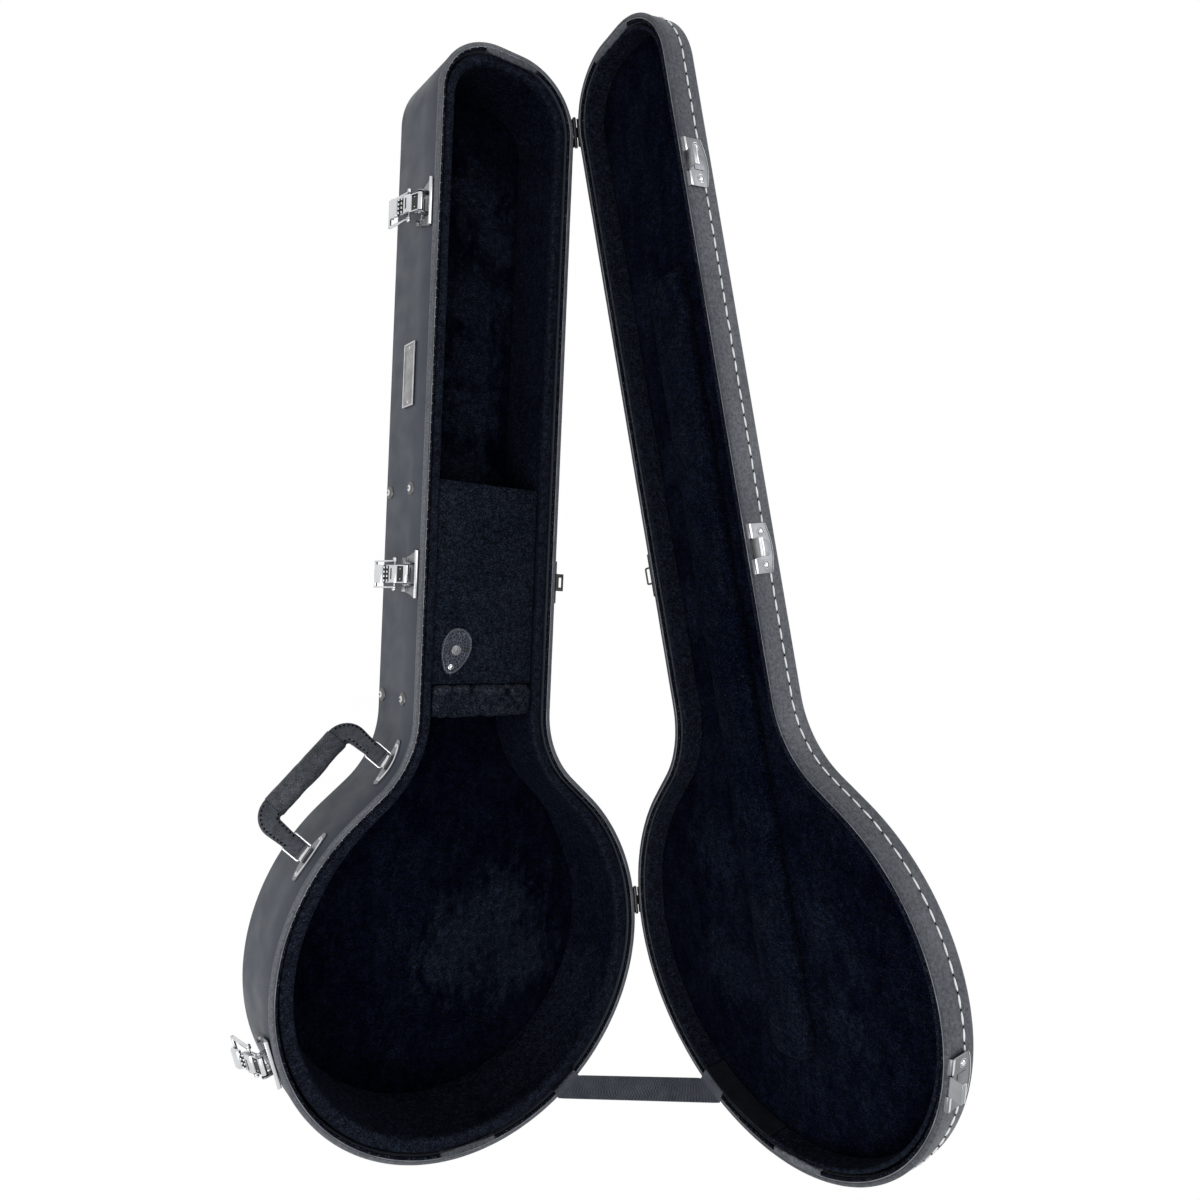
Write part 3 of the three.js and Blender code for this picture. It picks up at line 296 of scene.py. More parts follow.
class Shape:
    """Collects closed forms in millimetres, in the frame of the piece's own seat."""

    def __init__(self):
        self.bm = bmesh.new()

    def take(self, other):
        keep = bpy.data.meshes.new("part")
        other.to_mesh(keep)
        self.bm.from_mesh(keep)
        bpy.data.meshes.remove(keep)
        other.free()

    def skin(self, loops, closed=False):
        bm = bmesh.new()
        rows = [[bm.verts.new(p) for p in loop] for loop in loops]
        count = len(rows[0])
        pairs = list(zip(rows, rows[1:] + ([rows[0]] if closed else [])))
        if not closed:
            pairs = pairs[:len(rows) - 1]
        for a, b in pairs:
            for i in range(count):
                j = (i + 1) % count
                bm.faces.new((a[i], a[j], b[j], b[i]))
        if not closed:
            bm.faces.new(rows[0][::-1])
            bm.faces.new(rows[-1])
        bmesh.ops.recalc_face_normals(bm, faces=bm.faces)
        self.take(bm)

    def slab(self, outline, low, high, along="y", soft=0.3, steps=2):
        """A plate from a flat outline between two levels, with its edges rounded."""
        low, high = sorted((low, high))
        place = {
            "x": lambda u, v, w: (w, u, v),
            "y": lambda u, v, w: (u, w, v),
            "z": lambda u, v, w: (u, v, w),
        }[along]
        bm = bmesh.new()
        bottom = [bm.verts.new(place(u, v, low)) for u, v in outline]
        top = [bm.verts.new(place(u, v, high)) for u, v in outline]
        count = len(outline)
        bm.faces.new(bottom[::-1])
        bm.faces.new(top)
        for i in range(count):
            j = (i + 1) % count
            bm.faces.new((bottom[i], bottom[j], top[j], top[i]))
        bmesh.ops.recalc_face_normals(bm, faces=bm.faces)
        if soft > 0:
            sharp = [e for e in bm.edges if e.calc_face_angle(0) > math.radians(35)]
            bmesh.ops.bevel(bm, geom=sharp, offset=soft, segments=steps, profile=0.5,
                            affect="EDGES", clamp_overlap=True)
        self.take(bm)

    def block(self, x0, x1, y0, y1, z0, z1, soft=0.3, steps=2):
        x0, x1 = sorted((x0, x1))
        self.slab([(x0, z0), (x1, z0), (x1, z1), (x0, z1)], y0, y1, "y", soft, steps)

    def lathe(self, profile, at, along="x", sides=28):
        """A turned form from [radius, distance] pairs, along one axis from a point."""
        place = {
            "x": lambda r, a, d: (at[0] + d, at[1] + r * math.cos(a), at[2] + r * math.sin(a)),
            "y": lambda r, a, d: (at[0] + r * math.sin(a), at[1] + d, at[2] + r * math.cos(a)),
            "z": lambda r, a, d: (at[0] + r * math.cos(a), at[1] + r * math.sin(a), at[2] + d),
        }[along]
        turns = [2 * math.pi * i / sides for i in range(sides)]
        self.skin([[place(max(r, 0.02), a, d) for a in turns] for r, d in profile])

    def bar(self, radius, x0, x1, y, z, soft=0.4, sides=28):
        x0, x1 = sorted((x0, x1))
        soft = min(soft, radius * 0.9, (x1 - x0) / 2.2)
        left = [(radius - soft + soft * math.sin(a), x0 + soft * (1 - math.cos(a)))
                for a in (0, 0.52, 1.05, 1.57)]
        right = [(radius - soft + soft * math.cos(a), x1 - soft * (1 - math.sin(a)))
                 for a in (0, 0.52, 1.05, 1.57)]
        self.lathe(left + right, (0, y, z), "x", sides)

    def ball(self, radius, x, y, z, flat=1.0):
        turns = [math.radians(-90 + 180 * i / 10) for i in range(11)]
        self.lathe([(radius * math.cos(a), radius * flat * math.sin(a)) for a in turns],
                   (x, y, z), "x", 20)

    def stud(self, radius, high, x, y, z):
        """A domed rivet head that rises along +Y, with a thin rim."""
        rim = [(radius * 1.12, 0), (radius * 1.12, high * 0.16), (radius * 1.0, high * 0.24)]
        crown = [(radius * r, high * h) for r, h in
                 ((0.96, 0.36), (0.85, 0.62), (0.68, 0.82), (0.45, 0.95), (0.2, 1.0), (0.02, 1.01))]
        self.lathe([(radius * 1.12, -0.3)] + rim + crown, (x, y, z), "y", 24)

    def tube(self, points, halves, sides=16, closed=False, square=1.0, flat=None):
        """A tube with an oval section through points; square above 1 flattens its sides."""
        points = [Vector(p) for p in points]
        if flat is None:
            middle = sum(points, Vector()) / len(points)
            flat = Vector()
            for p, q in zip(points, points[1:] + points[:1]):
                flat += (p - middle).cross(q - middle)
        flat = Vector(flat).normalized()
        last = len(points) - 1
        loops = []
        for i, p in enumerate(points):
            before = points[(last if closed else 0) if i == 0 else i - 1]
            after = points[(0 if closed else last) if i == last else i + 1]
            side = (after - before).normalized().cross(flat)
            a, b = halves(i) if callable(halves) else halves
            loop = []
            for k in range(sides):
                turn = 2 * math.pi * k / sides
                c, s = math.cos(turn), math.sin(turn)
                c = math.copysign(abs(c) ** (1 / square), c)
                s = math.copysign(abs(s) ** (1 / square), s)
                loop.append(p + side * (a * c) + flat * (b * s))
            loops.append(loop)
        self.skin(loops, closed)

    def shaped(self, move):
        for v in self.bm.verts:
            v.co = move(v.co)

    def finish(self, name, body, slot, material, at=HERE, stands_for=(), crease=38, weld=True):
        if weld:
            bmesh.ops.remove_doubles(self.bm, verts=self.bm.verts, dist=0.001)
        self.bm.transform(Matrix.Scale(MM, 4) @ at)
        if at.to_3x3().determinant() < 0:
            bmesh.ops.reverse_faces(self.bm, faces=self.bm.faces)
        mesh = bpy.data.meshes.new(name)
        self.bm.to_mesh(mesh)
        self.bm.free()
        smoothed(mesh, crease)
        piece = shown(name, mesh)
        mesh.materials.append(material)
        if stands_for:
            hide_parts(*stands_for)
        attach(piece, body)
        return piece


def rolling(x, y, z, size, depth, seed=0.0):
    """Soft unevenness in millimetres, the same on every run."""
    return depth * noise.noise(Vector((x / size + seed, y / size - seed, z / size + 2 * seed)))


# ---------------------------------------------------------------- materials


class Look:
    """A procedural material whose patterns read Object coordinates."""

    def __init__(self, name, **sockets):
        self.material = bpy.data.materials.new(name)
        self.material.use_nodes = True
        self.nodes = self.material.node_tree.nodes
        self.links = self.material.node_tree.links
        self.shader = self.nodes["Principled BSDF"]
        for key, value in sockets.items():
            socket = self.shader.inputs[key.replace("_", " ")]
            socket.default_value = value
        self.where = self.nodes.new("ShaderNodeTexCoord").outputs["Object"]

    def put(self, kind, links=None, **values):
        node = self.nodes.new("ShaderNode" + kind)
        for key, value in values.items():
            if key in node.inputs:
                node.inputs[key].default_value = value
            else:
                setattr(node, key, value)
        for key, value in (links or {}).items():
            self.links.new(value, node.inputs[key])
        return node

    def cloud(self, scale, detail=3.0, rough=0.5, where=None, stretch=None):
        where = where or self.where
        if stretch:
            where = self.put("Mapping", {"Vector": where}, Scale=stretch).outputs[0]
        node = self.put("TexNoise", {"Vector": where}, Scale=scale, Detail=detail,
                        Roughness=rough)
        return node.outputs[0]

    def cells(self, scale, feature):
        node = self.put("TexVoronoi", {"Vector": self.where}, feature=feature, Scale=scale,
                        Randomness=1.0)
        return node.outputs["Distance"]

    def ramp(self, value, *stops):
        node = self.put("ValToRGB", {"Fac": value})
        ramp = node.color_ramp
        while len(ramp.elements) < len(stops):
            ramp.elements.new(0.5)
        for element, (place, colour) in zip(ramp.elements, stops):
            element.position = place
            if not isinstance(colour, tuple):
                colour = (colour, colour, colour)
            element.color = (*colour, 1)
        return node.outputs[0]

    def blend(self, share, a, b, how="MIX"):
        node = self.put("Mix", data_type="RGBA", blend_type=how)
        sockets = {"Factor": share, "A": a, "B": b}
        for name, value in sockets.items():
            socket = next(s for s in node.inputs if s.name == name and
                          s.type == ("VALUE" if name == "Factor" else "RGBA"))
            if isinstance(value, bpy.types.NodeSocket):
                self.links.new(value, socket)
            elif isinstance(value, tuple):
                socket.default_value = (*value, 1)
            else:
                socket.default_value = value
        return next(s for s in node.outputs if s.type == "RGBA")

    def sum(self, a, b, how="ADD"):
        node = self.put("Math", operation=how)
        for i, value in enumerate((a, b)):
            if isinstance(value, bpy.types.NodeSocket):
                self.links.new(value, node.inputs[i])
            else:
                node.inputs[i].default_value = value
        return node.outputs[0]

    def mixed(self, pattern, low, high, dark, light):
        """One tone below a level of a pattern, another above a higher level."""
        return self.blend(self.ramp(pattern, (low, 0.0), (high, 1.0)), dark, light)

    def times(self, a, b):
        return self.sum(a, b, "MULTIPLY")

    def tinted(self, tone, by):
        """A tone multiplied by another."""
        return self.blend(1.0, tone, by, "MULTIPLY")

    def weighted(self, a, share_a, b, share_b):
        return self.sum(self.times(a, share_a), self.times(b, share_b))

    def relief(self, height_of, depth, strength):
        return self.put("Bump", {"Height": height_of}, Strength=strength,
                        Distance=depth).outputs[0]

    def use(self, **links):
        for key, value in links.items():
            self.links.new(value, self.shader.inputs[key.replace("_", " ")])
        return self.material


def grained_vinyl(name, dark, light, grain=1100, depth=0.00022, contrast=0.3,
                  fleck=0.0, shine=0.3):
    """Vinyl cloth with a pebbled grain, dulled and rubbed unevenly."""
    look = Look(name, Metallic=0.0, Specular_IOR_Level=shine)
    pebble = look.cells(grain, "SMOOTH_F1")
    coarse = look.cloud(grain * 0.55, 4.0, 0.7)
    fine = look.cloud(grain * 2.4, 2.0, 0.6)
    grains = look.weighted(pebble, 0.6, fine, 0.4)
    grains = look.sum(grains, look.times(coarse, 0.5))
    rubbed = look.cloud(9, 4.0, 0.55)
    tone = look.mixed(rubbed, 0.32, 0.7, dark, light)
    mottle = look.ramp(coarse, (0.36, 1 - contrast), (0.5, 1.0), (0.66, 1 + contrast))
    tone = look.tinted(tone, mottle)
    pit = look.ramp(pebble, (0.06, 1 - contrast), (0.45, 1.0))
    tone = look.tinted(tone, pit)
    if fleck:
        speck = look.cloud(grain * 1.7, 1.0, 0.5)
        tone = look.blend(look.ramp(speck, (0.6, 0.0), (0.74, fleck)), tone,
                          tuple(min(1.0, 3.2 * v) for v in light))
    rough = look.ramp(look.cloud(38, 3.0), (0.35, 0.4), (0.68, 0.56))
    return look.use(Base_Color=tone, Roughness=rough, Normal=look.relief(grains, depth, 0.8))


def short_plush(name, deep, high, seed=0.0, glint=0.05, patch=11.0, brushed=(),
                brushed_and_highlight_tone=None, top=None, painted_corner_shade=0.35):
    """Crushed plush: a dark pile with lighter spots, crush marks, painted fibre glints and painted
    shade in its corners.

    brushed lists (centre, radius) in millimetres where the pile is made lighter, in the tone given
    with them: brushed pile on the floor, a painted highlight along the neck rest's top edge, and
    lighter spots on the wall and lid linings;
    top is a lighter tone for the faces above a height, painted light on the lining's top band."""
    look = Look(name, Metallic=0.0, Roughness=1.0, Specular_IOR_Level=0.012,
                Sheen_Weight=0.006, Sheen_Roughness=0.5, Sheen_Tint=(0.55, 0.68, 1.0, 1.0))
    where = look.put("Mapping", {"Vector": look.where}, Location=(seed, -seed, 0)).outputs[0]
    wide = look.cloud(patch, 3.0, 0.6, where=where)
    stroke = look.cloud(75, 4.0, 0.7, where=where, stretch=(1.0, 0.45, 1.0))
    marks = look.cloud(210, 3.0, 0.7, where=where)
    pile = look.cloud(820, 2.0, 0.8, where=where)
    share = look.weighted(wide, 0.45, stroke, 0.55)
    tone = look.mixed(share, 0.40, 0.66, deep, high)
    # Lighter spots: brushed pile on the floor, a painted highlight on the neck rest, lighter
    # patches on the wall and lid linings.
    if brushed:
        light = 0.0
        for centre, radius in brushed:
            node = look.put("VectorMath", {0: look.where}, operation="DISTANCE")
            node.inputs[1].default_value = [v * MM for v in centre]
            near = look.times(node.outputs["Value"], 1 / (radius * MM))
            near = look.sum(near, look.times(look.sum(stroke, 0.5, "SUBTRACT"), -2.4))
            light = look.sum(light, look.ramp(near, (0.35, 1.0), (1.0, 0.0)), "MAXIMUM")
        tone = look.blend(light, tone, brushed_and_highlight_tone)
    # Painted light: faces above a height near the lining's top take a lighter tone, the lit top
    # band over a wall face in shade.
    if top is not None:
        split = look.put("SeparateXYZ", {"Vector": look.where})
        above = look.times(look.sum(split.outputs[2], (LINING_TOP - 9) * MM, "SUBTRACT"), 150.0)
        tone = look.mixed(above, 0.0, 1.0, tone, top)
    crushed = look.ramp(marks, (0.38, 0.55), (0.52, 1.0), (0.66, 1.6))
    tone = look.tinted(tone, crushed)
    # Painted shade: ambient occlusion darkens the tone in corners, creases and gaps.
    corner = look.put("AmbientOcclusion", Distance=0.012, samples=8).outputs["AO"]
    tone = look.tinted(tone, look.ramp(corner, (0.3, painted_corner_shade), (0.8, 1.0)))
    # Painted highlight: bright specks and glint flecks stand for light glinting off the fibres.
    painted_sparkle = look.ramp(pile, (0.36, 0.25), (0.52, 0.9), (0.66, 2.8))
    tone = look.tinted(tone, painted_sparkle)
    fibre = look.ramp(look.cloud(620, 1.0, 0.5, where=where), (0.62, 0.0), (0.74, 1.0))
    tone = look.blend(fibre, tone, (glint * 0.84, glint * 0.94, glint * 1.12))
    lift = look.weighted(pile, 0.6, marks, 0.7)
    return look.use(Base_Color=tone, Normal=look.relief(lift, 0.0012, 0.9))


def plated(name, tone, rough, pit=0.00003, smear=0.1, shade=0.25, reach=0.004):
    """Plated or polished steel with rubbed patches, hairline scratches and painted shade darkening
    its corners.
    """
    look = Look(name, Metallic=1.0)
    haze = look.cloud(140, 4.0, 0.6)
    hair = look.cloud(900, 2.0, 0.5, stretch=(1.0, 0.08, 1.0))
    worn = look.cloud(70, 3.0, 0.5)
    colour = look.mixed(worn, 0.35, 0.7, tone, tuple(v * 0.86 for v in tone))
    # Painted shade: ambient occlusion darkens the colour in corners and recesses, down to the shade
    # level.
    painted_corner_shade = look.put("AmbientOcclusion", Distance=reach).outputs["AO"]
    colour = look.tinted(colour, look.ramp(painted_corner_shade, (0.35, shade), (0.92, 1.0)))
    gloss = look.ramp(haze, (0.3, rough), (0.75, rough + smear))
    relief = look.weighted(hair, 0.4, haze, 0.6)
    return look.use(Base_Color=colour, Roughness=gloss, Normal=look.relief(relief, pit, 0.5))


def brushed_plate(name, dark, light):
    """Satin plate, brushed along the neck."""
    look = Look(name, Metallic=1.0)
    lines = look.cloud(1400, 3.0, 0.6, stretch=(1.0, 0.03, 1.0))
    worn = look.cloud(120, 3.0)
    colour = look.mixed(worn, 0.3, 0.7, (dark, dark, dark * 1.04),
                        (light, light, light * 1.03))
    gloss = look.ramp(lines, (0.3, 0.26), (0.7, 0.42))
    return look.use(Base_Color=colour, Roughness=gloss, Normal=look.relief(lines, 0.00006, 0.6))


def hide(name, dark, light, grain=700, depth=0.0002, gloss=(0.36, 0.52), rim=0.5):
    """Leather with a pebbled grain; rim scales the tone of the creases between the pebbles: below 1
    they are darker, above 1 lighter, as a painted highlight on the pebbles' edges.
    """
    look = Look(name, Metallic=0.0, Specular_IOR_Level=0.25)
    creases = look.cells(grain, "DISTANCE_TO_EDGE")
    edge = look.ramp(creases, (0.03, 0.0), (0.15, 1.0))
    pores = look.cloud(grain * 3, 2.0, 0.6)
    rub = look.cloud(30, 4.0)
    mottle = look.cloud(grain * 0.4, 4.0, 0.7)
    tone = look.mixed(rub, 0.35, 0.7, dark, light)
    tone = look.tinted(tone, look.ramp(mottle, (0.38, 0.68), (0.62, 1.35)))
    tone = look.tinted(tone, look.ramp(edge, (0.0, rim), (1.0, 1.0)))
    gloss = look.ramp(look.cloud(90, 3.0), (0.35, gloss[0]), (0.7, gloss[1]))
    lift = look.weighted(edge, 0.8, pores, 0.25)
    return look.use(Base_Color=tone, Roughness=gloss, Normal=look.relief(lift, depth, 0.8))


def strap_web(name, dark, light):
    """Flat webbing with a chevron weave that follows the strap's own map."""
    look = Look(name, Metallic=0.0, Roughness=0.9, Specular_IOR_Level=0.08,
                Sheen_Weight=0.02, Sheen_Roughness=0.5)
    strip = look.put("UVMap", uv_map="weave").outputs[0]
    split = look.put("SeparateXYZ", {"Vector": strip})
    across, along = split.outputs[0], split.outputs[1]
    rib_pitch, chevron_wide, pick_pitch = 0.0021, 0.0063, 0.0028
    ribs = look.sum(look.times(across, 2 * math.pi / rib_pitch), 0.0, "SINE")
    fold = look.sum(across, chevron_wide, "PINGPONG")
    picks = look.times(look.sum(along, fold), 2 * math.pi / pick_pitch)
    weave = look.times(ribs, look.sum(picks, 0.0, "SINE"))
    fuzz = look.cloud(2200, 2.0, 0.7)
    worn = look.cloud(60, 3.0)
    share = look.sum(look.times(weave, 0.5), worn)
    tone = look.mixed(share, 0.2, 0.85, dark, light)
    tone = look.tinted(tone, look.ramp(fuzz, (0.35, 0.72), (0.7, 1.15)))
    lift = look.weighted(weave, 0.5, fuzz, 0.5)
    return look.use(Base_Color=tone, Normal=look.relief(lift, 0.0003, 0.9))


def thread(name, tone, dark=0.7, shine=0.3):
    """Twisted sewing thread."""
    look = Look(name, Metallic=0.0, Roughness=0.8, Specular_IOR_Level=shine)
    twist = look.cloud(2400, 2.0, 0.6)
    soil = look.cloud(45, 3.0)
    colour = look.mixed(soil, 0.35, 0.7, tone, tuple(v * dark for v in tone))
    return look.use(Base_Color=colour, Normal=look.relief(twist, 0.0002, 0.8))


FLOOR_BRUSHED = (((70, 10, 12), 62), ((20, -20, 12), 58), ((98, -38, 12), 50),
                 ((5, 773, 12), 44), ((30, 738, 12), 40), ((8, 664, 12), 52),
                 ((6, 600, 12), 44), ((8, 548, 12), 44), ((8, 490, 12), 36))
# Lighter spots on the body's wall lining.
WALL_LIGHTER_SPOTS = tuple(((162 * math.cos(math.radians(a)), 162 * math.sin(math.radians(a)), 45), 62)
                     for a in (-128, -108, -88, -68, -48, -28))
# Painted highlight: lighter spots in a row along the neck rest's top back edge, where light falls
# on it.
REST_HIGHLIGHT_SPOTS = tuple(((x, 264, 87), 8) for x in range(-50, 51, 10))
# Lighter spots on the lid's lining.
LID_LIGHTER_SPOTS = tuple((tuple(OPEN_LID @ Vector((x, y, LID_CEILING_FACE - 6))), radius)
                    for x, y, radius in ((46, 640, 34), (42, 480, 30), (48, 330, 34),
                                         (70, 90, 46), (84, -30, 44), (-58, 30, 34),
                                         (-66, -50, 30)))
WALL_VINYL = grained_vinyl("wall_vinyl", (0.045, 0.053, 0.070), (0.062, 0.071, 0.089),
                           grain=1100, depth=0.00012, contrast=0.07, shine=0.2)
LID_VINYL = grained_vinyl("lid_vinyl", (0.058, 0.064, 0.077), (0.078, 0.085, 0.100),
                          grain=560, depth=0.0006, contrast=0.42)
# Painted light, mostly: the binding's outer roll is much lighter than the wall vinyl, for the light
# on the rolled edge that faces up; its flecks are real specks.
BEAD_VINYL = grained_vinyl("bead_vinyl", (0.080, 0.087, 0.101), (0.120, 0.128, 0.145),
                           grain=760, depth=0.0004, contrast=0.3, fleck=0.3)
LID_LIP_VINYL = grained_vinyl("lid_lip_vinyl", (0.060, 0.067, 0.081), (0.120, 0.130, 0.150),
                              grain=520, depth=0.0005, contrast=0.5)
LIP_VINYL = grained_vinyl("lip_vinyl", (0.034, 0.039, 0.050), (0.075, 0.082, 0.098),
                          grain=520, depth=0.0005, contrast=0.5)
PLUSH = short_plush("plush", (0.0003, 0.0009, 0.0050), (0.0044, 0.0064, 0.0140), glint=0.012,
                    brushed=LID_LIGHTER_SPOTS, brushed_and_highlight_tone=(0.0044, 0.0066, 0.0142))
PLUSH_BED = short_plush("plush_bed", (0.0003, 0.0009, 0.0048), (0.0036, 0.0056, 0.0124),
                        seed=0.61, glint=0.010, brushed=FLOOR_BRUSHED,
                        brushed_and_highlight_tone=(0.0074, 0.0106, 0.0192), painted_corner_shade=0.45)
# Its top tone is painted light on the lining's top band.
PLUSH_WALL = short_plush("plush_wall", (0.0022, 0.0038, 0.0098), (0.0060, 0.0084, 0.0165),
                         seed=0.17, glint=0.022, top=(0.0085, 0.0112, 0.0190), painted_corner_shade=0.9,
                         brushed=WALL_LIGHTER_SPOTS, brushed_and_highlight_tone=(0.0078, 0.0106, 0.0192))
PLUSH_PALE = short_plush("plush_brushed", (0.0058, 0.0084, 0.0150), (0.0110, 0.0146, 0.0228),
                         patch=16.0, seed=0.37, glint=0.045)
PLUSH_PAD = short_plush("plush_pad", (0.0014, 0.0028, 0.0086), (0.0062, 0.0086, 0.0160),
                        patch=9.0, seed=0.47, glint=0.02, painted_corner_shade=0.15)
PLUSH_REST = short_plush("plush_rest", (0.0075, 0.0102, 0.0170), (0.0170, 0.0210, 0.0300),
                         patch=24.0, seed=0.83, glint=0.05, brushed=REST_HIGHLIGHT_SPOTS,
                         brushed_and_highlight_tone=(0.026, 0.031, 0.042), painted_corner_shade=0.08)
RIM_PLUSH = short_plush("plush_rim", (0.0036, 0.0052, 0.0100), (0.0085, 0.0110, 0.0175),
                        patch=30.0, seed=0.29, glint=0.10)
CHROME = plated("bright_chrome", (0.70, 0.71, 0.73), 0.13, shade=0.12, reach=0.005)
# Painted light and shade: plate, keeper and hook chrome are darker and lighter copies of one
# chrome, each toned to how bright its reflections look.
PLATE_CHROME = plated("plate_chrome", (0.24, 0.245, 0.26), 0.3, smear=0.14, shade=0.2,
                      reach=0.003)
KEEPER_CHROME = plated("keeper_chrome", (0.215, 0.22, 0.235), 0.32, smear=0.14, shade=0.2,
                       reach=0.003)
HOOK_CHROME = plated("hook_chrome", (0.36, 0.365, 0.38), 0.24, smear=0.14, shade=0.12,
                     reach=0.005)
# Dark metal for the hinges; the same dark tone is painted shade on the pieces set in the latch
# slots, the lever gaps and the screw sockets.
DARK_METAL_AND_SHADE = plated("dark_metal_and_shade", (0.06, 0.06, 0.06), 0.32, pit=0.00006, smear=0.2)
AGED_METAL = plated("aged_metal", (0.16, 0.158, 0.155), 0.34, pit=0.00006, smear=0.2)
NAME_PLATE = brushed_plate("satin_plate", 0.20, 0.34)
PLATE_BORDER = brushed_plate("satin_border", 0.50, 0.64)
# Painted highlight: rim=14.0 makes the creases between the pebbles much lighter, standing for light
# on the pebbles' edges.
TAB_HIDE = hide("tab_hide", (0.0045, 0.0055, 0.0080), (0.0080, 0.0092, 0.0125), grain=400,
                depth=0.0004, rim=14.0)
GRIP_HIDE = hide("handle_hide", (0.036, 0.041, 0.052), (0.058, 0.064, 0.078), grain=620,
                 depth=0.00022, gloss=(0.4, 0.56))
SLEEVE_HIDE = hide("handle_sleeve_hide", (0.034, 0.039, 0.050), (0.088, 0.095, 0.112),
                   grain=560, depth=0.0005, gloss=(0.42, 0.58))
WEBBING = strap_web("stay_webbing", (0.048, 0.055, 0.069), (0.140, 0.153, 0.180))
SEWN_WEBBING = strap_web("sewn_webbing", (0.0035, 0.0048, 0.0080), (0.0150, 0.0180, 0.0250))
PALE_THREAD = thread("pale_thread", (0.86, 0.87, 0.88), 0.85)
TAB_THREAD = thread("tab_thread", (0.22, 0.225, 0.235))
PIPING = thread("piping", (0.26, 0.27, 0.30), 0.45)
# Painted shade: near-black thread marks stand for the shade inside the stitch holes.
PIN_HOLES = thread("stitch_holes", (0.003, 0.003, 0.005), shine=0.0)


# ---------------------------------------------------------------- shells


def shell(name, body, levels, material, stands_for, at=HERE):
    """A tray: its outside, rim edge and inside as one closed skin."""
    form = Shape()
    form.skin([[inset(p, d, z) for p in OUTLINE] for d, z in levels])
    return form.finish(name, body, "vinyl", material, at, stands_for)


def roll_section(rim, way):
    """Outer roll of the folded edge binding."""
    side, roll = rim + way * BEAD_HIGH, 2.1
    outer = arc(roll - BEAD_PROUD, rim + way * roll, roll, 180, 180 + way * 90, 9)
    return [(-BEAD_PROUD, side)] + outer + [(3.2, rim + way * 0.1), (3.8, rim + way * 0.7),
                                            (3.8, side)]


def top_section(rim, way):
    """Flat inner part of the binding, sunk a little below the roll."""
    side, low = rim + way * BEAD_HIGH, rim + way * 0.9
    return [(4.6, side), (4.6, low), (4.9, rim + way * 0.5), (5.5, rim + way * 0.35),
            (6.1, rim + way * 0.45), (6.5, low), (WALL, low), (WALL, side)]


def binding(name, body, section, rim, way, at, material, stands_for=()):
    form = Shape()
    section = finer(section, 1.2, closed=True)
    form.skin([[inset(p, d, z) for d, z in section] for p in OUTLINE], closed=True)

    def move(co):
        lift = rolling(co.x, co.y, co.z, 9.0, 0.12, 3.1)
        co.z += -way * lift if abs(co.z - rim) < 1.5 else 0
        return co

    form.shaped(move)
    return form.finish(name, body, "bead_vinyl", material, at, stands_for)


def rim_bead(name, body, rim, way, stands_for, skin, at=HERE):
    binding(name, body, roll_section(rim, way), rim, way, at, skin, stands_for)
    binding(name + "_top", body, top_section(rim, way), rim, way, at, RIM_PLUSH)
    form = Shape()
    form.tube([inset(p, 4.2, rim + way * 0.35) for p in OUTLINE], (0.45, 0.42), 8, closed=True,
              flat=(0, 0, 1))
    form.finish(name + "_cord", body, "bead_vinyl", PIPING, at)


def build_shells():
    edge = arc(5, 5, 5, 270, 180, 8)
    shell("base_shell", "case_base",
          edge + [(0, 30), (0, 60), (0, BASE_RIM - BEAD_HIGH - 0.9), (0.5, BASE_RIM - BEAD_HIGH),
                 (WALL, BASE_RIM - BEAD_HIGH), (WALL, WALL)],
          WALL_VINYL, ("base_back_board", "base_side_wall"))
    high = [(d, CASE_HIGH - z) for d, z in edge]
    shell("lid_shell", "case_lid",
          high + [(0, 114), (0, 104), (0, LID_RIM + BEAD_HIGH + 0.9), (0.5, LID_RIM + BEAD_HIGH),
                  (WALL, LID_RIM + BEAD_HIGH), (WALL, CASE_HIGH - WALL)],
          LID_VINYL, ("lid_top_board", "lid_side_wall"), OPEN_LID)
    rim_bead("base_bead", "case_base", BASE_RIM, -1, ("base_rim_bead",), BEAD_VINYL)
    seam = [inset(p, 5.0, BASE_RIM - 0.35) for p in OUTLINE if p[0] < 0 and p[1] > 60]
    stitch_row("base_bead_seam", "case_base", seam, HERE, PALE_THREAD,
               pitch=9.0, long=0.9, wide=0.5, high=0.5, closed=False, wander=0.5)
    rim_bead("lid_bead", "case_lid", LID_RIM, 1, ("lid_rim_bead",), LID_VINYL, OPEN_LID)


# ---------------------------------------------------------------- linings


def pad_section(back, face, low, top, roll):
    return (
        [(back, low)]
        + arc(back + 1.6, top - 1.6, 1.6, 180, 90, 4)
        + arc(face - roll, top - roll, roll, 90, 0, 8)
        + [(face, low)]
    )


def soft_wall(name, body, run, section, closed, depth, stands_for, at=HERE, look=None):
    form = Shape()
    if callable(section):
        loops = [finer(section(p), 5.0, closed=True) for p in run]
        most = max(len(loop) for loop in loops)
        loops = [even_loop(section(p), most) for p in run]
    else:
        loops = [finer(section, 5.0, closed=True)] * len(run)
    form.skin([[inset(p, d, z) for d, z in loop] for p, loop in zip(run, loops)], closed)

    def move(co):
        swell = rolling(co.x, co.y, co.z, 46.0, depth, 7.7) + rolling(
            co.x, co.y, co.z, 17.0, depth * 0.4, 1.3)
        flat = Vector((co.x, co.y - min(max(co.y, 0), 820), 0))
        if flat.length > 1:
            co -= flat.normalized() * max(swell, -depth * 0.2)
        co.z += 0.35 * swell if co.z > LINING_TOP - 4 and at is HERE else 0
        return co

    form.shaped(move)
    piece = form.finish(name, body, "plush", look or PLUSH, at, stands_for, crease=60)
    return piece


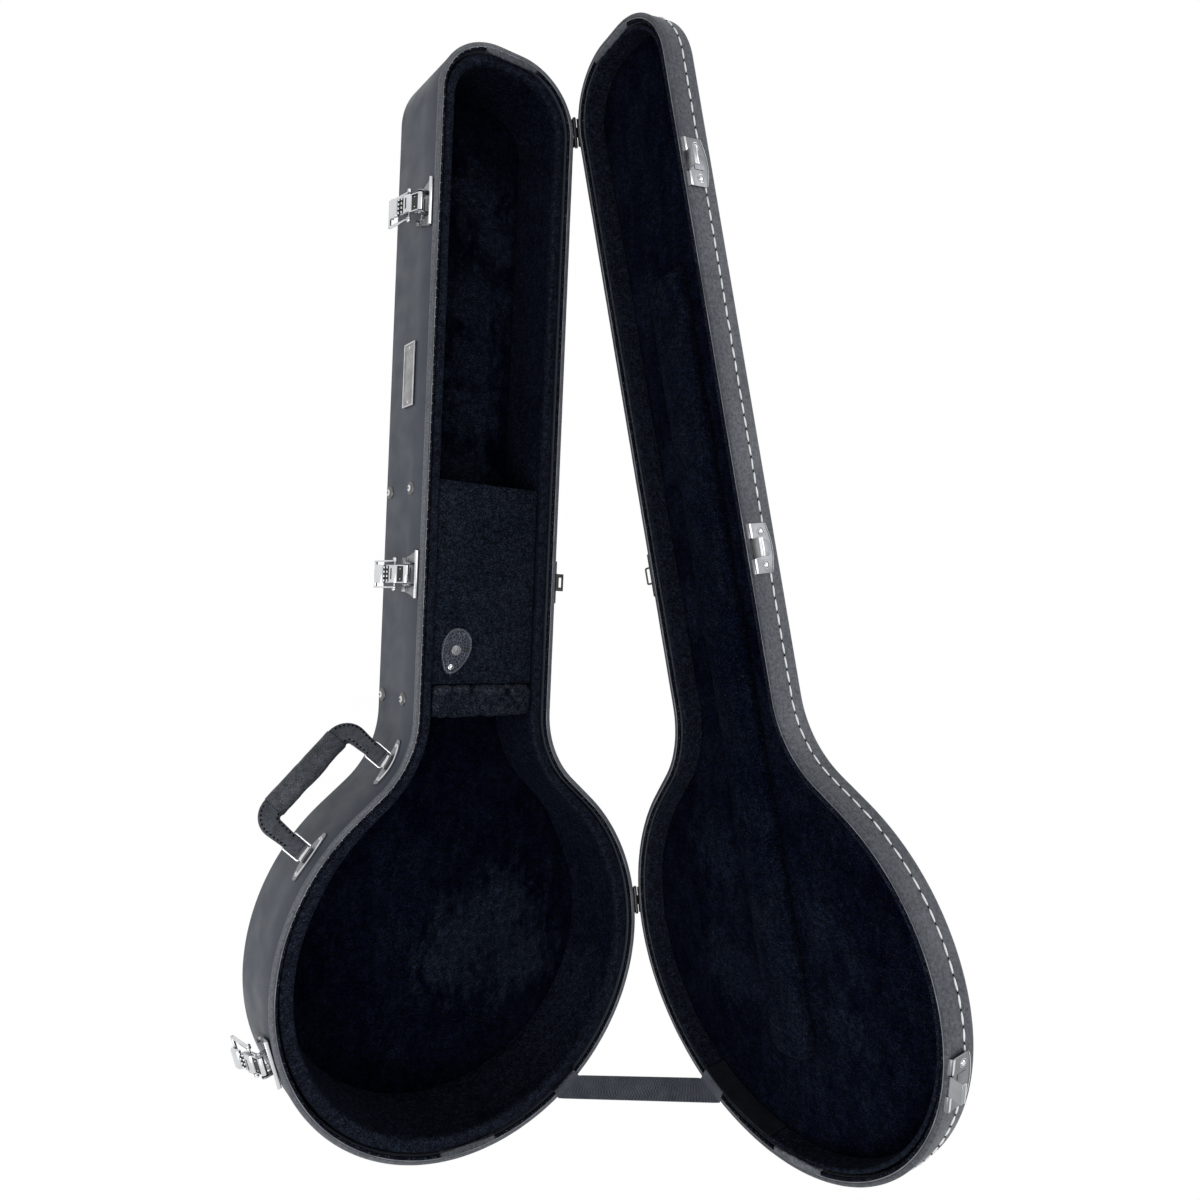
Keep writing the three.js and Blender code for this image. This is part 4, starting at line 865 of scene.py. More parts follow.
def spine(p):
    """Point on the middle line that a place on the outline looks toward."""
    y = p[1]
    if y < 60:
        return (0.0, y * 0.35)
    if y < 300:
        share = (y - 60) / 240
        return (0.0, y * (0.35 + 0.65 * share))
    return (0.0, min(y, HEAD_Y - 52))


def bed(name, body, depth, low, top, dent, stands_for, at=HERE, way=1, look=None):
    """A cloth bed that fills the outline, with rows toward the middle line."""
    form = Shape()
    bm = form.bm
    rows = 26
    grid = []
    for p in OUTLINE:
        edge = inset(p, depth, 0)
        middle = spine(p)
        line = [bm.verts.new((edge[0], edge[1], low))]
        for r in range(rows + 1):
            share = r / rows
            x = edge[0] + (middle[0] - edge[0]) * share
            y = edge[1] + (middle[1] - edge[1]) * share
            line.append(bm.verts.new((x, y, top + way * dent(x, y))))
        grid.append(line)
    for a, b in zip(grid, grid[1:] + grid[:1]):
        for i in range(rows + 1):
            bm.faces.new((a[i], b[i], b[i + 1], a[i + 1]))
    bm.faces.new([line[0] for line in grid[::-1]])
    bmesh.ops.remove_doubles(bm, verts=bm.verts, dist=0.01)
    bmesh.ops.dissolve_degenerate(bm, edges=bm.edges, dist=0.005)
    bmesh.ops.recalc_face_normals(bm, faces=bm.faces)
    return form.finish(name, body, "plush", look or PLUSH, at, stands_for, crease=60, weld=False)


def base_floor_height(x, y):
    swell = rolling(x, y, 0, 60.0, 0.9, 4.4) + rolling(x, y, 0, 18.0, 0.4, 2.1)
    crease = 0.0
    turn = math.degrees(math.atan2(y, x)) % 360
    for radius, low, high, deep in ((134.0, 215, 292, 2.4), (118.0, 205, 255, 1.8),
                                    (146.0, 240, 284, 1.6), (96.0, 232, 270, 1.2)):
        if low < turn < high:
            fade = math.sin(math.pi * (turn - low) / (high - low))
            off = math.hypot(x, y) - radius - 3 * math.sin(turn / 7)
            crease += deep * fade * (math.exp(-(off / 2.6) ** 2)
                                     - 0.5 * math.exp(-((off - 5) / 3.0) ** 2))
    return max(swell + crease, -0.8) + 0.2


def lid_ceiling_height(x, y):
    folds = 0.0
    for line, low, high in ((48, -120, 210), (-52, -60, 160), (66, 30, 150)):
        if low < y < high:
            fade = math.sin(math.pi * (y - low) / (high - low))
            off = x - line - 0.06 * (y - low) + 2.5 * math.sin(y / 26)
            folds += 1.3 * fade * math.exp(-(off / 3.0) ** 2)
    return max(rolling(x, y, 0, 70.0, 0.9, 5.9) + folds, -0.3)


def ring_pad(p):
    """The body's wall pad: thicker round the body than at the neck, and wider at its foot."""
    full = min(1.0, max(0.0, (175 - p[1]) / 90))
    full = full * full * (3 - 2 * full)
    face = BASE_LINING_FACE + 3.5 * full
    foot = BASE_LINING_FACE + 12.0 * full
    return [(LINING_BACK, WALL + 0.4)] + arc(
        LINING_BACK + 1.6, LINING_TOP - 1.6, 1.6, 180, 90, 4) + arc(
        face - 3.4, LINING_TOP - 3.4, 3.4, 90, 0, 8) + [
        (face + (foot - face) * 0.15, 62), (face + (foot - face) * 0.5, 36),
        (foot - 0.8 * full, FLOOR_TOP + 3), (foot + 0.1, WALL + 0.4)]


def build_linings():
    body_run = past_tail(clip_run(height, -BODY_RADIUS, REST_HEAD_Y + 4.9))
    neck_run = past_head(clip_run(height, REST_HEAD_Y + 5.3, HEAD_Y))
    wall_pad = pad_section(LINING_BACK, BASE_LINING_FACE, WALL + 0.4, LINING_TOP, 3.4)
    soft_wall("base_body_plush", "case_base", body_run, ring_pad, False, 0.5,
              ("base_body_lining",), look=PLUSH_WALL)
    soft_wall("base_neck_plush", "case_base", neck_run, wall_pad, False, 0.5,
              ("base_neck_lining",), look=PLUSH_WALL)
    bed("base_floor_plush", "case_base", BASE_LINING_FACE + 0.4, WALL + 0.4, FLOOR_TOP,
        base_floor_height, ("base_floor_lining",), look=PLUSH_BED)
    lid_pad = [(LINING_BACK, 118.4), (LINING_BACK, LID_LINING_LOW + 1.2)]
    lid_pad += arc(LINING_BACK + 1.2, LID_LINING_LOW + 1.2, 1.2, 180, 270, 3)
    lid_pad += arc(LID_LINING_FACE - 1.8, LID_LINING_LOW + 1.8, 1.8, 270, 360, 5)
    lid_pad += [(LID_LINING_FACE, 118.4)]
    soft_wall("lid_wall_plush", "case_lid", OUTLINE, lid_pad, True, 0.25,
              ("lid_wall_lining",), OPEN_LID, look=PLUSH_WALL)
    bed("lid_ceiling_plush", "case_lid", LID_LINING_FACE + 0.4, LID_CEILING,
        LID_CEILING_FACE, lid_ceiling_height, ("lid_top_lining",), OPEN_LID, -1)


def neck_pad():
    """Long soft pad under the lid; its tail end is pointed."""
    form = Shape()
    sections = []
    tail_y, head_y, full_half, point, deep, count = -95, 650, 25.0, 18, 12.0, 180
    for i in range(count + 1):
        y = tail_y + (head_y - tail_y) * i / count
        from_tail = y - tail_y
        half = full_half if from_tail > point else full_half * (0.04 + 0.96 * math.sqrt(
            max(0.0, 1 - (1 - from_tail / point) ** 2)))
        end = min(1.0, (head_y - y) / 5 + 0.15, from_tail / 6 + 0.12)
        thick = deep * min(1.0, math.sqrt(end))
        top = LID_CEILING_FACE - 0.3
        loop = [(-half, y, top), (-half, y, top - thick * 0.55)]
        for k in range(15):
            share = -1 + 2 * (k + 0.5) / 15
            crown = thick * (0.72 + 0.28 * (1 - abs(share) ** 3.2))
            crown += rolling(share * half, y, 0, 34.0, 0.7, 9.3)
            crown += 0.5 * math.exp(-((share - 0.12) * 9) ** 2) * (1 if y < 260 else 0)
            loop.append((share * half, y, top - min(crown, thick)))
        loop += [(half, y, top - thick * 0.55), (half, y, top)]
        sections.append(loop)
    form.skin(sections)
    piece = form.finish("lid_neck_cushion", "case_lid", "plush", PLUSH_PAD, OPEN_LID,
                        ("lid_neck_pad",), crease=65)


def lip_strip(name, body, run, low, high, ends, stands_for, at=HERE, look=None):
    """Binding flap: over the rim, along a straight edge, and down behind the lining."""
    back, way = WALL + 0.3, 1 if high > low else -1
    first, last = (Vector(inset(p, ends, 0)[:2]) for p in (run[0], run[-1]))
    across = Vector(((last - first).y, -(last - first).x))
    form = Shape()
    loops = []
    for i, p in enumerate(run):
        share = i / (len(run) - 1)
        place, inward = Vector(p[:2]), Vector(inset(p, 1, 0)[:2]) - Vector(p[:2])
        chord = (first - place).dot(across) / inward.dot(across)
        end = min(1.0, 14 * min(share, 1 - share))
        reach = max(back + 1.6, chord * end + (back + 1.6) * (1 - end)
                    + 0.25 * math.sin(31 * share))
        section = [(back, low), (back, high - way * 1.9), (3.9, high - way * 1.5),
                   (3.9, high - way * 0.25), (reach - 1.2, high - way * 0.15),
                   (reach - 0.3, high - way * 0.6), (reach, high - way * 1.4),
                   (reach - 0.4, high - way * 2.4), (back + 1.4, high - way * 2.6),
                   (back + 1.4, low)]
        loops.append([inset(p, d, z) for d, z in section])
    form.skin(loops)
    return form.finish(name, body, "plush", look or LIP_VINYL, at, stands_for)


def build_lips():
    tail_edge = -math.degrees(math.atan2(
        TAIL_RADIUS * math.sqrt(1 - (LIP_HALF / BODY_RADIUS) ** 2), LIP_HALF))
    tail_run = past_tail(clip_run(azimuth, -90, tail_edge))
    head_run = past_head(clip_run(azimuth, math.degrees(math.atan2(HEAD_Y, LIP_HALF)), 90))
    lip_strip("base_tail_flap", "case_base", tail_run, 68, BASE_RIM, 8.4,
              ("base_tail_lip",))
    lip_strip("base_head_flap", "case_base", head_run, 68, BASE_RIM, 8.8,
              ("base_head_lip",))
    lip_strip("lid_tail_flap", "case_lid", tail_run, 102, LID_RIM, 8.4,
              ("lid_tail_lip",), OPEN_LID, LID_LIP_VINYL)
    lip_strip("lid_head_flap", "case_lid", head_run, 102, LID_RIM, 8.8,
              ("lid_head_lip",), OPEN_LID, LID_LIP_VINYL)


# ---------------------------------------------------------------- neck fittings


def neck_rest():
    """Stuffed rest across the neck: a puffed cushion with rounded ends and slanted creases."""
    half = neck_half(REST_TAIL_Y) - BASE_LINING_FACE - 0.3
    top = BASE_DEPTH - 4.5
    form = Shape()
    loops = []
    for i in range(121):
        s = -1 + 2 * i / 120
        puff = (1 - abs(s) ** 12) ** 0.5
        crest = top - 8.0 * (1 - puff)
        front = REST_TAIL_Y + 4.5 * (1 - puff)
        back = REST_HEAD_Y - 2.5 * (1 - puff)
        x = s * half
        section = [(front + 3, FLOOR_TOP + 0.4), (REST_HEAD_Y + 4.6, FLOOR_TOP + 0.4),
                   (REST_HEAD_Y + 4.6, LEDGE_Z), (back, LEDGE_Z)]
        section += arc(back - 7, crest - 7, 7, 0, 90, 9)
        section += arc(front + 10, crest - 10, 10, 90, 180, 11)
        section += [(front + 1.2, crest - 22)]
        loops.append([(x, y, z) for y, z in even_loop(section, 60)])
    form.skin(loops)

    def move(co):
        if co.z > 40:
            pinch = 0.0
            for at, lean, wide, deep in ((-38, 0.55, 2.6, 3.0), (-22, 0.8, 3.2, 3.6),
                                         (-6, -0.4, 2.8, 2.0), (19, 1.0, 3.4, 3.4),
                                         (35, -0.8, 2.8, 3.0), (46, 0.5, 2.2, 1.8)):
                off = co.x - at - lean * (co.y - 250)
                pinch += deep * (math.exp(-(off / wide) ** 2)
                                 - 0.45 * math.exp(-((off - 2.2 * wide) / wide) ** 2))
            fade = min(1.0, (co.z - 40) / 30)
            co.z -= pinch * fade * (1 if co.z > 74 else 0.3)
            if co.y < REST_TAIL_Y + 14:
                co.y += pinch * fade * 0.25
        co.z += rolling(co.x, co.y, co.z, 12.0, 0.9, 6.2) * (1 if co.z > 30 else 0)
        return co

    form.shaped(move)
    piece = form.finish("neck_rest_pad", "case_base", "plush", PLUSH_REST, HERE,
                        ("neck_rest",), crease=70)


def cloth_board(name, body, x0, x1, y0, y1, z0, z1, soft, stands_for):
    """Board with plush wrapped round its edges."""
    form = Shape()
    levels = [(soft, z0)] + [
        (soft * (1 - math.cos(a)), z1 - soft + soft * math.sin(a)) for a in
        (0, 0.4, 0.8, 1.2, 1.5708)
    ]
    levels.insert(1, (0, z0 + soft * 0.7))
    loops = []
    for shrink, z in levels:
        corners = []
        for cx, cy, first in ((x1, y0, 270), (x1, y1, 0), (x0, y1, 90), (x0, y0, 180)):
            sx = -1 if cx == x1 else 1
            sy = -1 if cy == y1 else 1
            radius = max(soft * 1.4 - shrink, 0.3)
            corners += [
                (u, v, z) for u, v in arc(cx + sx * (radius + shrink), cy + sy * (radius + shrink),
                                          radius, first, first + 90, 4)]
        loops.append(corners)
    form.skin(loops)
    return form.finish(name, body, "plush", PLUSH_PALE, HERE, stands_for, crease=60)


def pull_tab():
    """Leather tab with a sewn border, a disc and a snap."""
    at = (Matrix.Translation((-31, 298, 82.3))
          @ Matrix.Rotation(math.radians(-18), 4, "Z"))
    narrow, wide, half_long = 24, 37, 23

    def oval(shrink, z, count=56):
        loop = []
        for i in range(count):
            a = 2 * math.pi * i / count
            y = math.sin(a)
            width = narrow + (wide - narrow) * (y + 1) / 2
            loop.append((math.cos(a) * (width / 2 - shrink), y * (half_long - shrink), z))
        return loop

    form = Shape()
    form.skin([oval(0.5, 0), oval(0, 0.5), oval(0, 1.0), oval(0.25, 1.4), oval(0.8, 1.6),
               oval(2.4, 1.62), oval(2.9, 1.42), oval(3.5, 1.62), oval(6, 1.66)])
    form.finish("leather_tab", "pocket_cover", "tab_leather", TAB_HIDE, at, ("pull_tab",))
    disc = Shape()
    disc.lathe([(5, 0), (5, 0.5), (4.7, 0.7), (4.3, 0.7), (4.1, 0.5), (3.8, 0.5), (3.5, 0.62),
                (2.2, 0.62), (2.0, 0.45), (1.7, 0.45), (1.4, 0.6), (0.02, 0.62)],
               (0, 1, 1.7), "z", 40)
    disc.finish("tab_disc_cap", "pocket_cover", "bright_chrome", PLATE_CHROME, at, ("tab_disc",))
    snap = Shape()
    snap.lathe([(2.8, 0), (2.8, 0.4), (2.4, 0.7), (1.9, 0.72), (1.7, 1.2), (1.2, 1.5),
                (0.02, 1.6)], (0, -16, 1.9), "z", 32)
    snap.finish("tab_snap_cap", "pocket_cover", "bright_chrome", CHROME, at, ("tab_snap",))
    border = oval(1.5, 1.6, 80)
    stitch_row("tab_stitches", "pocket_cover", border, at, TAB_THREAD,
               pitch=1.5, long=1.35, wide=0.75, high=0.5)


# ---------------------------------------------------------------- node-made rows


class Rows:
    """A Geometry Nodes tree with named inputs."""

    def __init__(self, name, line, sizes, materials):
        self.tree = bpy.data.node_groups.new(name, "GeometryNodeTree")
        self.socket("Geometry", "Geometry", "OUTPUT")
        self.socket(line, "Geometry")
        for key, value in sizes.items():
            self.socket(key, "Float").default_value = value
        for key in materials:
            self.socket(key, "Material")
        self.given = self.put("NodeGroupInput").outputs

    def socket(self, name, kind, way="INPUT"):
        return self.tree.interface.new_socket(name=name, in_out=way,
                                              socket_type="NodeSocket" + kind)

    def put(self, kind, inputs=None, **settings):
        node = self.tree.nodes.new(kind)
        for key, value in settings.items():
            setattr(node, key, value)
        for key, value in (inputs or {}).items():
            if isinstance(value, bpy.types.NodeSocket):
                self.tree.links.new(value, node.inputs[key])
            else:
                node.inputs[key].default_value = value
        return node

    def maths(self, operation, a, b):
        return self.put("ShaderNodeMath", {0: a, 1: b}, operation=operation).outputs[0]

    def painted(self, geometry, material):
        return self.put("GeometryNodeSetMaterial", {
            "Geometry": geometry, "Material": self.given[material]}).outputs[0]

    def joined(self, *parts):
        join = self.put("GeometryNodeJoinGeometry")
        for part in parts:
            self.tree.links.new(part, join.inputs[0])
        return join.outputs[0]

    def realised(self, place):
        return self.put("GeometryNodeRealizeInstances", {0: place.outputs[0]}).outputs[0]

    def ends_in(self, geometry):
        self.put("NodeGroupOutput", {0: geometry})
        return self.tree


def row_tree():
    """Stitches at an even pitch along a line, each a small turned ellipsoid."""
    rows = Rows("stitch_row", "Line", {"Pitch": 0.01, "Long": 0.006, "Wide": 0.0012,
                                       "High": 0.001, "Wander": 0.06}, ["Thread"])
    given, put = rows.given, rows.put
    curve = put("GeometryNodeMeshToCurve", {"Mesh": given["Line"]})
    even = put("GeometryNodeResampleCurve", {"Curve": curve.outputs[0],
                                             "Length": given["Pitch"]}, mode="LENGTH")
    ball = put("GeometryNodeMeshUVSphere", {"Segments": 8, "Rings": 6, "Radius": 0.5})
    tangent = put("GeometryNodeInputTangent")
    aim = put("FunctionNodeAlignRotationToVector", {"Vector": tangent.outputs[0]}, axis="X")
    low, high = (put("ShaderNodeCombineXYZ", {"Y": tilt, "Z": tilt}).outputs[0] for tilt in (
        rows.maths("MULTIPLY", given["Wander"], -1), given["Wander"]))
    wander = put("FunctionNodeRandomValue", {0: low, 1: high}, data_type="FLOAT_VECTOR")
    next(s for s in wander.inputs if s.name == "Seed").default_value = 7
    angles = put("FunctionNodeEulerToRotation", {0: wander.outputs[0]})
    turn = put("FunctionNodeRotateRotation", {0: aim.outputs[0], 1: angles.outputs[0]},
               rotation_space="LOCAL")
    size = put("ShaderNodeCombineXYZ", {"X": given["Long"], "Y": given["Wide"],
                                        "Z": given["High"]})
    place = put("GeometryNodeInstanceOnPoints", {
        "Points": even.outputs[0], "Instance": ball.outputs["Mesh"],
        "Rotation": turn.outputs[0], "Scale": size.outputs[0]})
    return rows.ends_in(rows.painted(rows.realised(place), "Thread"))


ROW_TREE = row_tree()


def solid_from(tree, name, mesh, values):
    """Runs a node tree on a mesh and returns the result as a plain mesh object."""
    carrier = shown(name + "_line", mesh)
    modifier = carrier.modifiers.new("rows", "NODES")
    modifier.node_group = tree
    for item in tree.interface.items_tree:
        if item.item_type == "SOCKET" and item.in_out == "INPUT" and item.name in values:
            modifier[item.identifier] = values[item.name]
    depsgraph = bpy.context.evaluated_depsgraph_get()
    made = bpy.data.meshes.new_from_object(carrier.evaluated_get(depsgraph))
    bpy.data.objects.remove(carrier)
    piece = shown(name, made)
    made.name = name
    smoothed(made)
    return piece


def line_mesh(points, at, closed):
    mesh = bpy.data.meshes.new("line")
    placed = [(at @ Vector(p)) * MM for p in points]
    edges = [(i, i + 1) for i in range(len(placed) - 1)]
    if closed:
        edges.append((len(placed) - 1, 0))
    mesh.from_pydata(placed, edges, [])
    return mesh


def stitch_row(name, body, points, at, material, pitch, long, wide, high, closed=True,
               wander=0.06):
    piece = solid_from(ROW_TREE, name, line_mesh(points, at, closed), {
        "Pitch": pitch * MM, "Long": long * MM, "Wide": wide * MM, "High": high * MM,
        "Wander": wander, "Thread": material})
    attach(piece, body)
    return piece


def stud_tree():
    """Turned heads on points: a flared washer, a domed head and a dark disc painted as the shade in
    its socket.
    """
    rows = Rows("screw_heads", "Points", {
        "Washer Radius": 0.0065, "Washer High": 0.002, "Head Radius": 0.0032,
        "Head High": 0.0009}, ["Metal", "Washer", "Shade"])
    given, put = rows.given, rows.put

    def times(a, b):
        return rows.maths("MULTIPLY", a, b)

    def lift(geometry, high):
        offset = put("ShaderNodeCombineXYZ", {"Z": high})
        return put("GeometryNodeTransform", {
            "Geometry": geometry, "Translation": offset.outputs[0]}).outputs[0]

    def cone(low, top, depth, base):
        node = put("GeometryNodeMeshCone", {
            "Vertices": 32, "Radius Bottom": low, "Radius Top": top, "Depth": depth})
        return lift(node.outputs["Mesh"], base)

    washer, washer_high = given["Washer Radius"], given["Washer High"]
    head, head_high = given["Head Radius"], given["Head High"]
    foot, lip, shoulder = times(washer_high, 0.35), times(washer, 0.94), times(head, 0.8)
    flared = rows.joined(
        cone(washer, lip, foot, 0.0),
        cone(lip, times(washer, 0.56), times(washer_high, 0.65), foot))
    domed = rows.joined(
        cone(head, shoulder, times(head_high, 0.6), washer_high),
        cone(shoulder, times(head, 0.42), times(head_high, 0.4),
             rows.maths("ADD", washer_high, times(head_high, 0.6))))
    well = put("GeometryNodeMeshCylinder", {
        "Vertices": 6, "Radius": times(head, 0.46), "Depth": times(head_high, 0.3)})
    sunk = lift(well.outputs["Mesh"], rows.maths("ADD", washer_high, times(head_high, 0.9)))
    both = rows.joined(rows.painted(flared, "Washer"), rows.painted(domed, "Metal"),
                       rows.painted(sunk, "Shade"))
    facing = put("GeometryNodeInputNamedAttribute", {"Name": "facing"},
                 data_type="FLOAT_VECTOR")
    aim = put("FunctionNodeAlignRotationToVector", {"Vector": facing.outputs["Attribute"]},
              axis="Z")
    place = put("GeometryNodeInstanceOnPoints", {
        "Points": given["Points"], "Instance": both, "Rotation": aim.outputs[0]})
    return rows.ends_in(rows.realised(place))


def wall_screws():
    mesh = bpy.data.meshes.new("screw_points")
    points, facing = [], []
    for y in SCREW_YS:
        at = wall_frame(mirror(neck_point(y)))
        for z in SCREW_ZS:
            points.append((at @ Vector((0, PLAY, z - BASE_DEPTH))) * MM)
            facing.append(at.to_3x3() @ Vector((0, 1, 0)))
    mesh.from_pydata(points, [], [])
    attribute = mesh.attributes.new("facing", "FLOAT_VECTOR", "POINT")
    attribute.data.foreach_set("vector", [v for n in facing for v in n])
    piece = solid_from(stud_tree(), "wall_screws", mesh, {
        "Metal": CHROME, "Washer": AGED_METAL, "Shade": DARK_METAL_AND_SHADE})
    piece.data.set_sharp_from_angle(angle=math.radians(30))
    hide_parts(*(f"wall_screw_{i}" for i in (1, 2, 3, 4)))
    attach(piece, "case_base")


# ---------------------------------------------------------------- latches


def latch_plate():
    """Plate on the base's wall, with two ears for the lever's pin and bent feet."""
    form = Shape()
    y0, y1 = 0.6, 1.8
    right = [(22.5, -4), (22.5, -8.5), (18.6, -20), (16.4, -31), (10.5, -31), (9.4, -27)]
    form.slab(right + [(-x, z) for x, z in right[::-1]], y0, y1, "y", 0.4, 3)
    for side in (-1, 1):
        ear = [(y1 - 0.5, -9.8), (9, -9.8)] + arc(9, -13, 3.2, 90, -90, 10) + [(y1 - 0.5, -17.2)]
        form.slab(ear, side * 9.3, side * 10.8, "x", 0.3, 2)
        form.stud(2, 0.95, side * 18.5, y1, -9)
        form.stud(2, 0.95, side * 13.6, y1, -26.4)
        foot = [(y1 - 0.3, -29.5), (y1 + 0.5, -29.8), (y1 + 3.2, -32.0), (y1 + 2.6, -33.2),
                (y1 - 0.6, -31.2)]
        form.slab(foot, side * 16.2, side * 10.8, "x", 0.2, 2)
    form.slab([(-7, -19.5), (7, -19.5), (5, -29), (-5, -29)], y1 - 0.2, y1 + 0.6, "y", 0.3, 2)
    return form


def latch_flange():
    """Bright rolled edge along the top of the plate."""
    form = Shape()
    form.block(-22.5, 22.5, 0.9, 4.0, -6.2, -4, 0.45, 3)
    return form


def latch_shadow():
    """Dark pieces painted as the shade in the slot that the lever's pivot stands over, and in the
    one in the foot.
    """
    form = Shape()
    form.slab([(-8.2, -7.1), (8.2, -7.1), (8.2, -11.4), (-8.2, -11.4)], 1.7, 2.2, "y", 0.1, 1)
    form.slab([(-3.4, -23.2), (3.4, -23.2), (3.0, -24.9), (-3.0, -24.9)], 2.3, 2.7, "y", 0.1, 1)
    for side in (-1, 1):
        wedge = [(side * 9.0, -18.5), (side * 12.6, -18.5), (side * 11.4, -24), (side * 9.0, -24)]
        form.slab(wedge if side > 0 else wedge[::-1], 1.7, 2.1, "y", 0.1, 1)
    return form


def latch_lever():
    """Draw lever: pivot barrel, bail housing and a rolled finger end, with ribs between."""
    form = Shape()
    h = 8.5
    form.bar(2.6, -h, h, 0, 0, 0.5)
    form.slab([(-6.4, -1), (6.4, -1), (6.4, -40), (-6.4, -40)], 0.2, 1.2, "y", 0.2, 1)
    for side in (-1, 1):
        cheek = [(-2.6, 0.5), (-2.6, -17.5), (-0.8, -22), (1.9, -25), (1.9, 0.5)]
        form.slab(cheek, side * h, side * (h - 1.1), "x", 0.25, 2)
        form.bar(0.75, side * 4.2, side * 5.2, 1.7, -5.6)
    housing = [(-1.0, -21.4), (1.2, -21.4), (2.4, -20.6), (3.4, -19.2), (3.9, -17.4),
               (4.0, -15.6), (3.9, -13.8), (3.4, -12.0), (2.4, -10.6), (1.2, -9.8),
               (-1.0, -9.8)]
    form.slab(housing, -h + 0.2, h - 0.2, "x", 0.4, 3)
    tip = [(-0.6, -28.6), (1.6, -28.6), (2.9, -29.6), (3.6, -31.2), (3.8, -33.4), (3.6, -36.0),
           (3.0, -38.4), (1.9, -40.2), (0.2, -41.2), (-1.8, -41.2), (-2.9, -40.2),
           (-3.2, -38.6), (-2.2, -38.0), (-1.2, -38.8), (-0.4, -38.4), (-0.2, -36.6),
           (-0.4, -34.0)]
    form.slab(tip, -h, h, "x", 0.45, 3)
    for z in (-22.9, -27.1):
        for i in range(4):
            x = -h + 2.3 + (2 * h - 4.6) * i / 3
            form.bar(1.15, x - 1.15, x + 1.15, 1.9, z, 0.5, 14)
    return form


def lever_shadow():
    """Dark pieces painted as the shade in the gaps between the lever's ribs and in its rolled end.
    """
    form = Shape()
    form.slab([(-7.4, -21.3), (7.4, -21.3), (7.4, -28.7), (-7.4, -28.7)], 0.9, 1.6, "y", 0.1, 1)
    form.slab([(-6.2, -2.6), (6.2, -2.6), (6.2, -9.8), (-6.2, -9.8)], 0.9, 1.6, "y", 0.1, 1)
    form.slab([(-5.2, -14.9), (5.2, -14.9), (5.2, -16.5), (-5.2, -16.5)], 3.9, 4.1, "y", 0.05, 1)
    form.slab([(-1.4, -41.5), (1.4, -41.05), (1.4, -40.4), (-1.4, -40.7)], -4.6, 4.6, "x", 0.1,
              1)
    return form


def latch_bail():
    """Two arms with a pin through the lever and a crossbar that takes the keeper's hook."""
    form = Shape()
    form.bar(1.4, -13.2, 13.2, 0, -33, 0.5)
    form.bar(1.0, -14.2, 14.2, 0, 0, 0.2, 16)
    for side in (-1, 1):
        arm = [(1.5, -31.5), (1.5, -1.5)] + arc(0, 0, 2.2, -37, 217, 14) + [
            (-1.5, -1.5), (-1.5, -31.5)] + arc(0, -33, 1.7, 200, 340, 8)
        form.slab(arm, side * 11.7, side * 13.2, "x", 0.3, 2)
        form.ball(2.3, side * 14.3, 0, 0, 0.8)
    return form


def lever_pin():
    form = Shape()
    form.bar(1.0, -11.2, 11.2, PIVOT_OUT, -PIVOT_DOWN, 0.2, 18)
    for side in (-1, 1):
        form.ball(1.9, side * 10.9, PIVOT_OUT, -PIVOT_DOWN, 0.3)
    return form


def keeper_plate():
    """D-shaped keeper with two lips folded over the rim and a raised field."""
    form = Shape()
    y0, y1 = 0.6, 1.8
    low = 2.55  # where the plate's lips start to fold
    arch = [(s * 22.5, 20.5 + 4.5 * (1 - s * s)) for s in np.linspace(1, -1, 25)]
    form.slab(arch + [(-22.5, low), (22.5, low)], y0, y1, "y", 0.4, 3)
    for side in (-1, 1):
        xs = sorted((side * 22.5, side * 9.0))
        fold = [(y1, low + 1.2), (y1, low - 0.6), (y1 - 0.5, low - 1.5), (y0 - 0.4, 0.25),
                (y0 - 1.9, 0.16), (y0 - 1.3, 0.75), (y0 - 0.5, 1.35), (y0, low), (y0, low + 1.2)]
        form.slab(fold, xs[0] + 0.1, xs[1] - 0.1, "x", 0.22, 2)
    form.slab([(-7, 8.5), (7, 8.5), (7, 19), (4, 21.5), (-4, 21.5), (-7, 19)], y1 - 0.2,
              y1 + 0.5, "y", 0.35, 3)
    form.block(-8.5, 8.5, y0, y1, 0.6, low + 1.4, 0.3, 2)
    return form


def keeper_hook():
    """The hook that the bail draws down on."""
    form = Shape()
    form.block(-8.5, 8.5, 0.9, 11.6, 0.6, 1.9, 0.4, 3)
    form.block(-8.5, 8.5, 10.6, 11.9, 0.6, 5.4, 0.45, 3)
    return form


def keeper_brights():
    """The two rivet domes with rings round them, a bright rolled ridge along the plate's arch, and
    bright strips on the folded lips and the hook that are painted highlights.
    """
    form = Shape()
    for side in (-1, 1):
        form.stud(2.3, 1.35, side * 15, 1.8, 14)
        form.tube([(side * 15 + 3.6 * math.cos(a), 1.85, 14 + 3.6 * math.sin(a))
                   for a in np.linspace(0, 2 * math.pi, 25)[:-1]], (0.35, 0.35), 8, closed=True)
        # Painted highlight: a bright strip on each folded lip.
        form.block(side * 22.2, side * 9.2, 1.7, 2.2, 1.7, 3.9, 0.2, 2)
    # Painted highlights: two bright bars on the hook.
    form.block(-8.2, 8.2, 11.5, 12.2, 3.9, 5.6, 0.3, 2)
    form.block(-8.2, 8.2, 7.4, 8.6, 1.7, 2.3, 0.25, 2)
    ridge = [(s * 21.9, 20.3 + 4.3 * (1 - s * s), 1.9) for s in np.linspace(-1, 1, 25)]
    form.tube([(x, y, z) for x, z, y in ridge], (0.35, 0.35), 8, flat=(0, 1, 0))
    return form


LATCHES = {
    **{name: mirror(neck_point(y)) for name, y in LATCH_YS.items()},
    "tail": mirror(tail_point(TAIL_LATCH_ANGLE)),
}


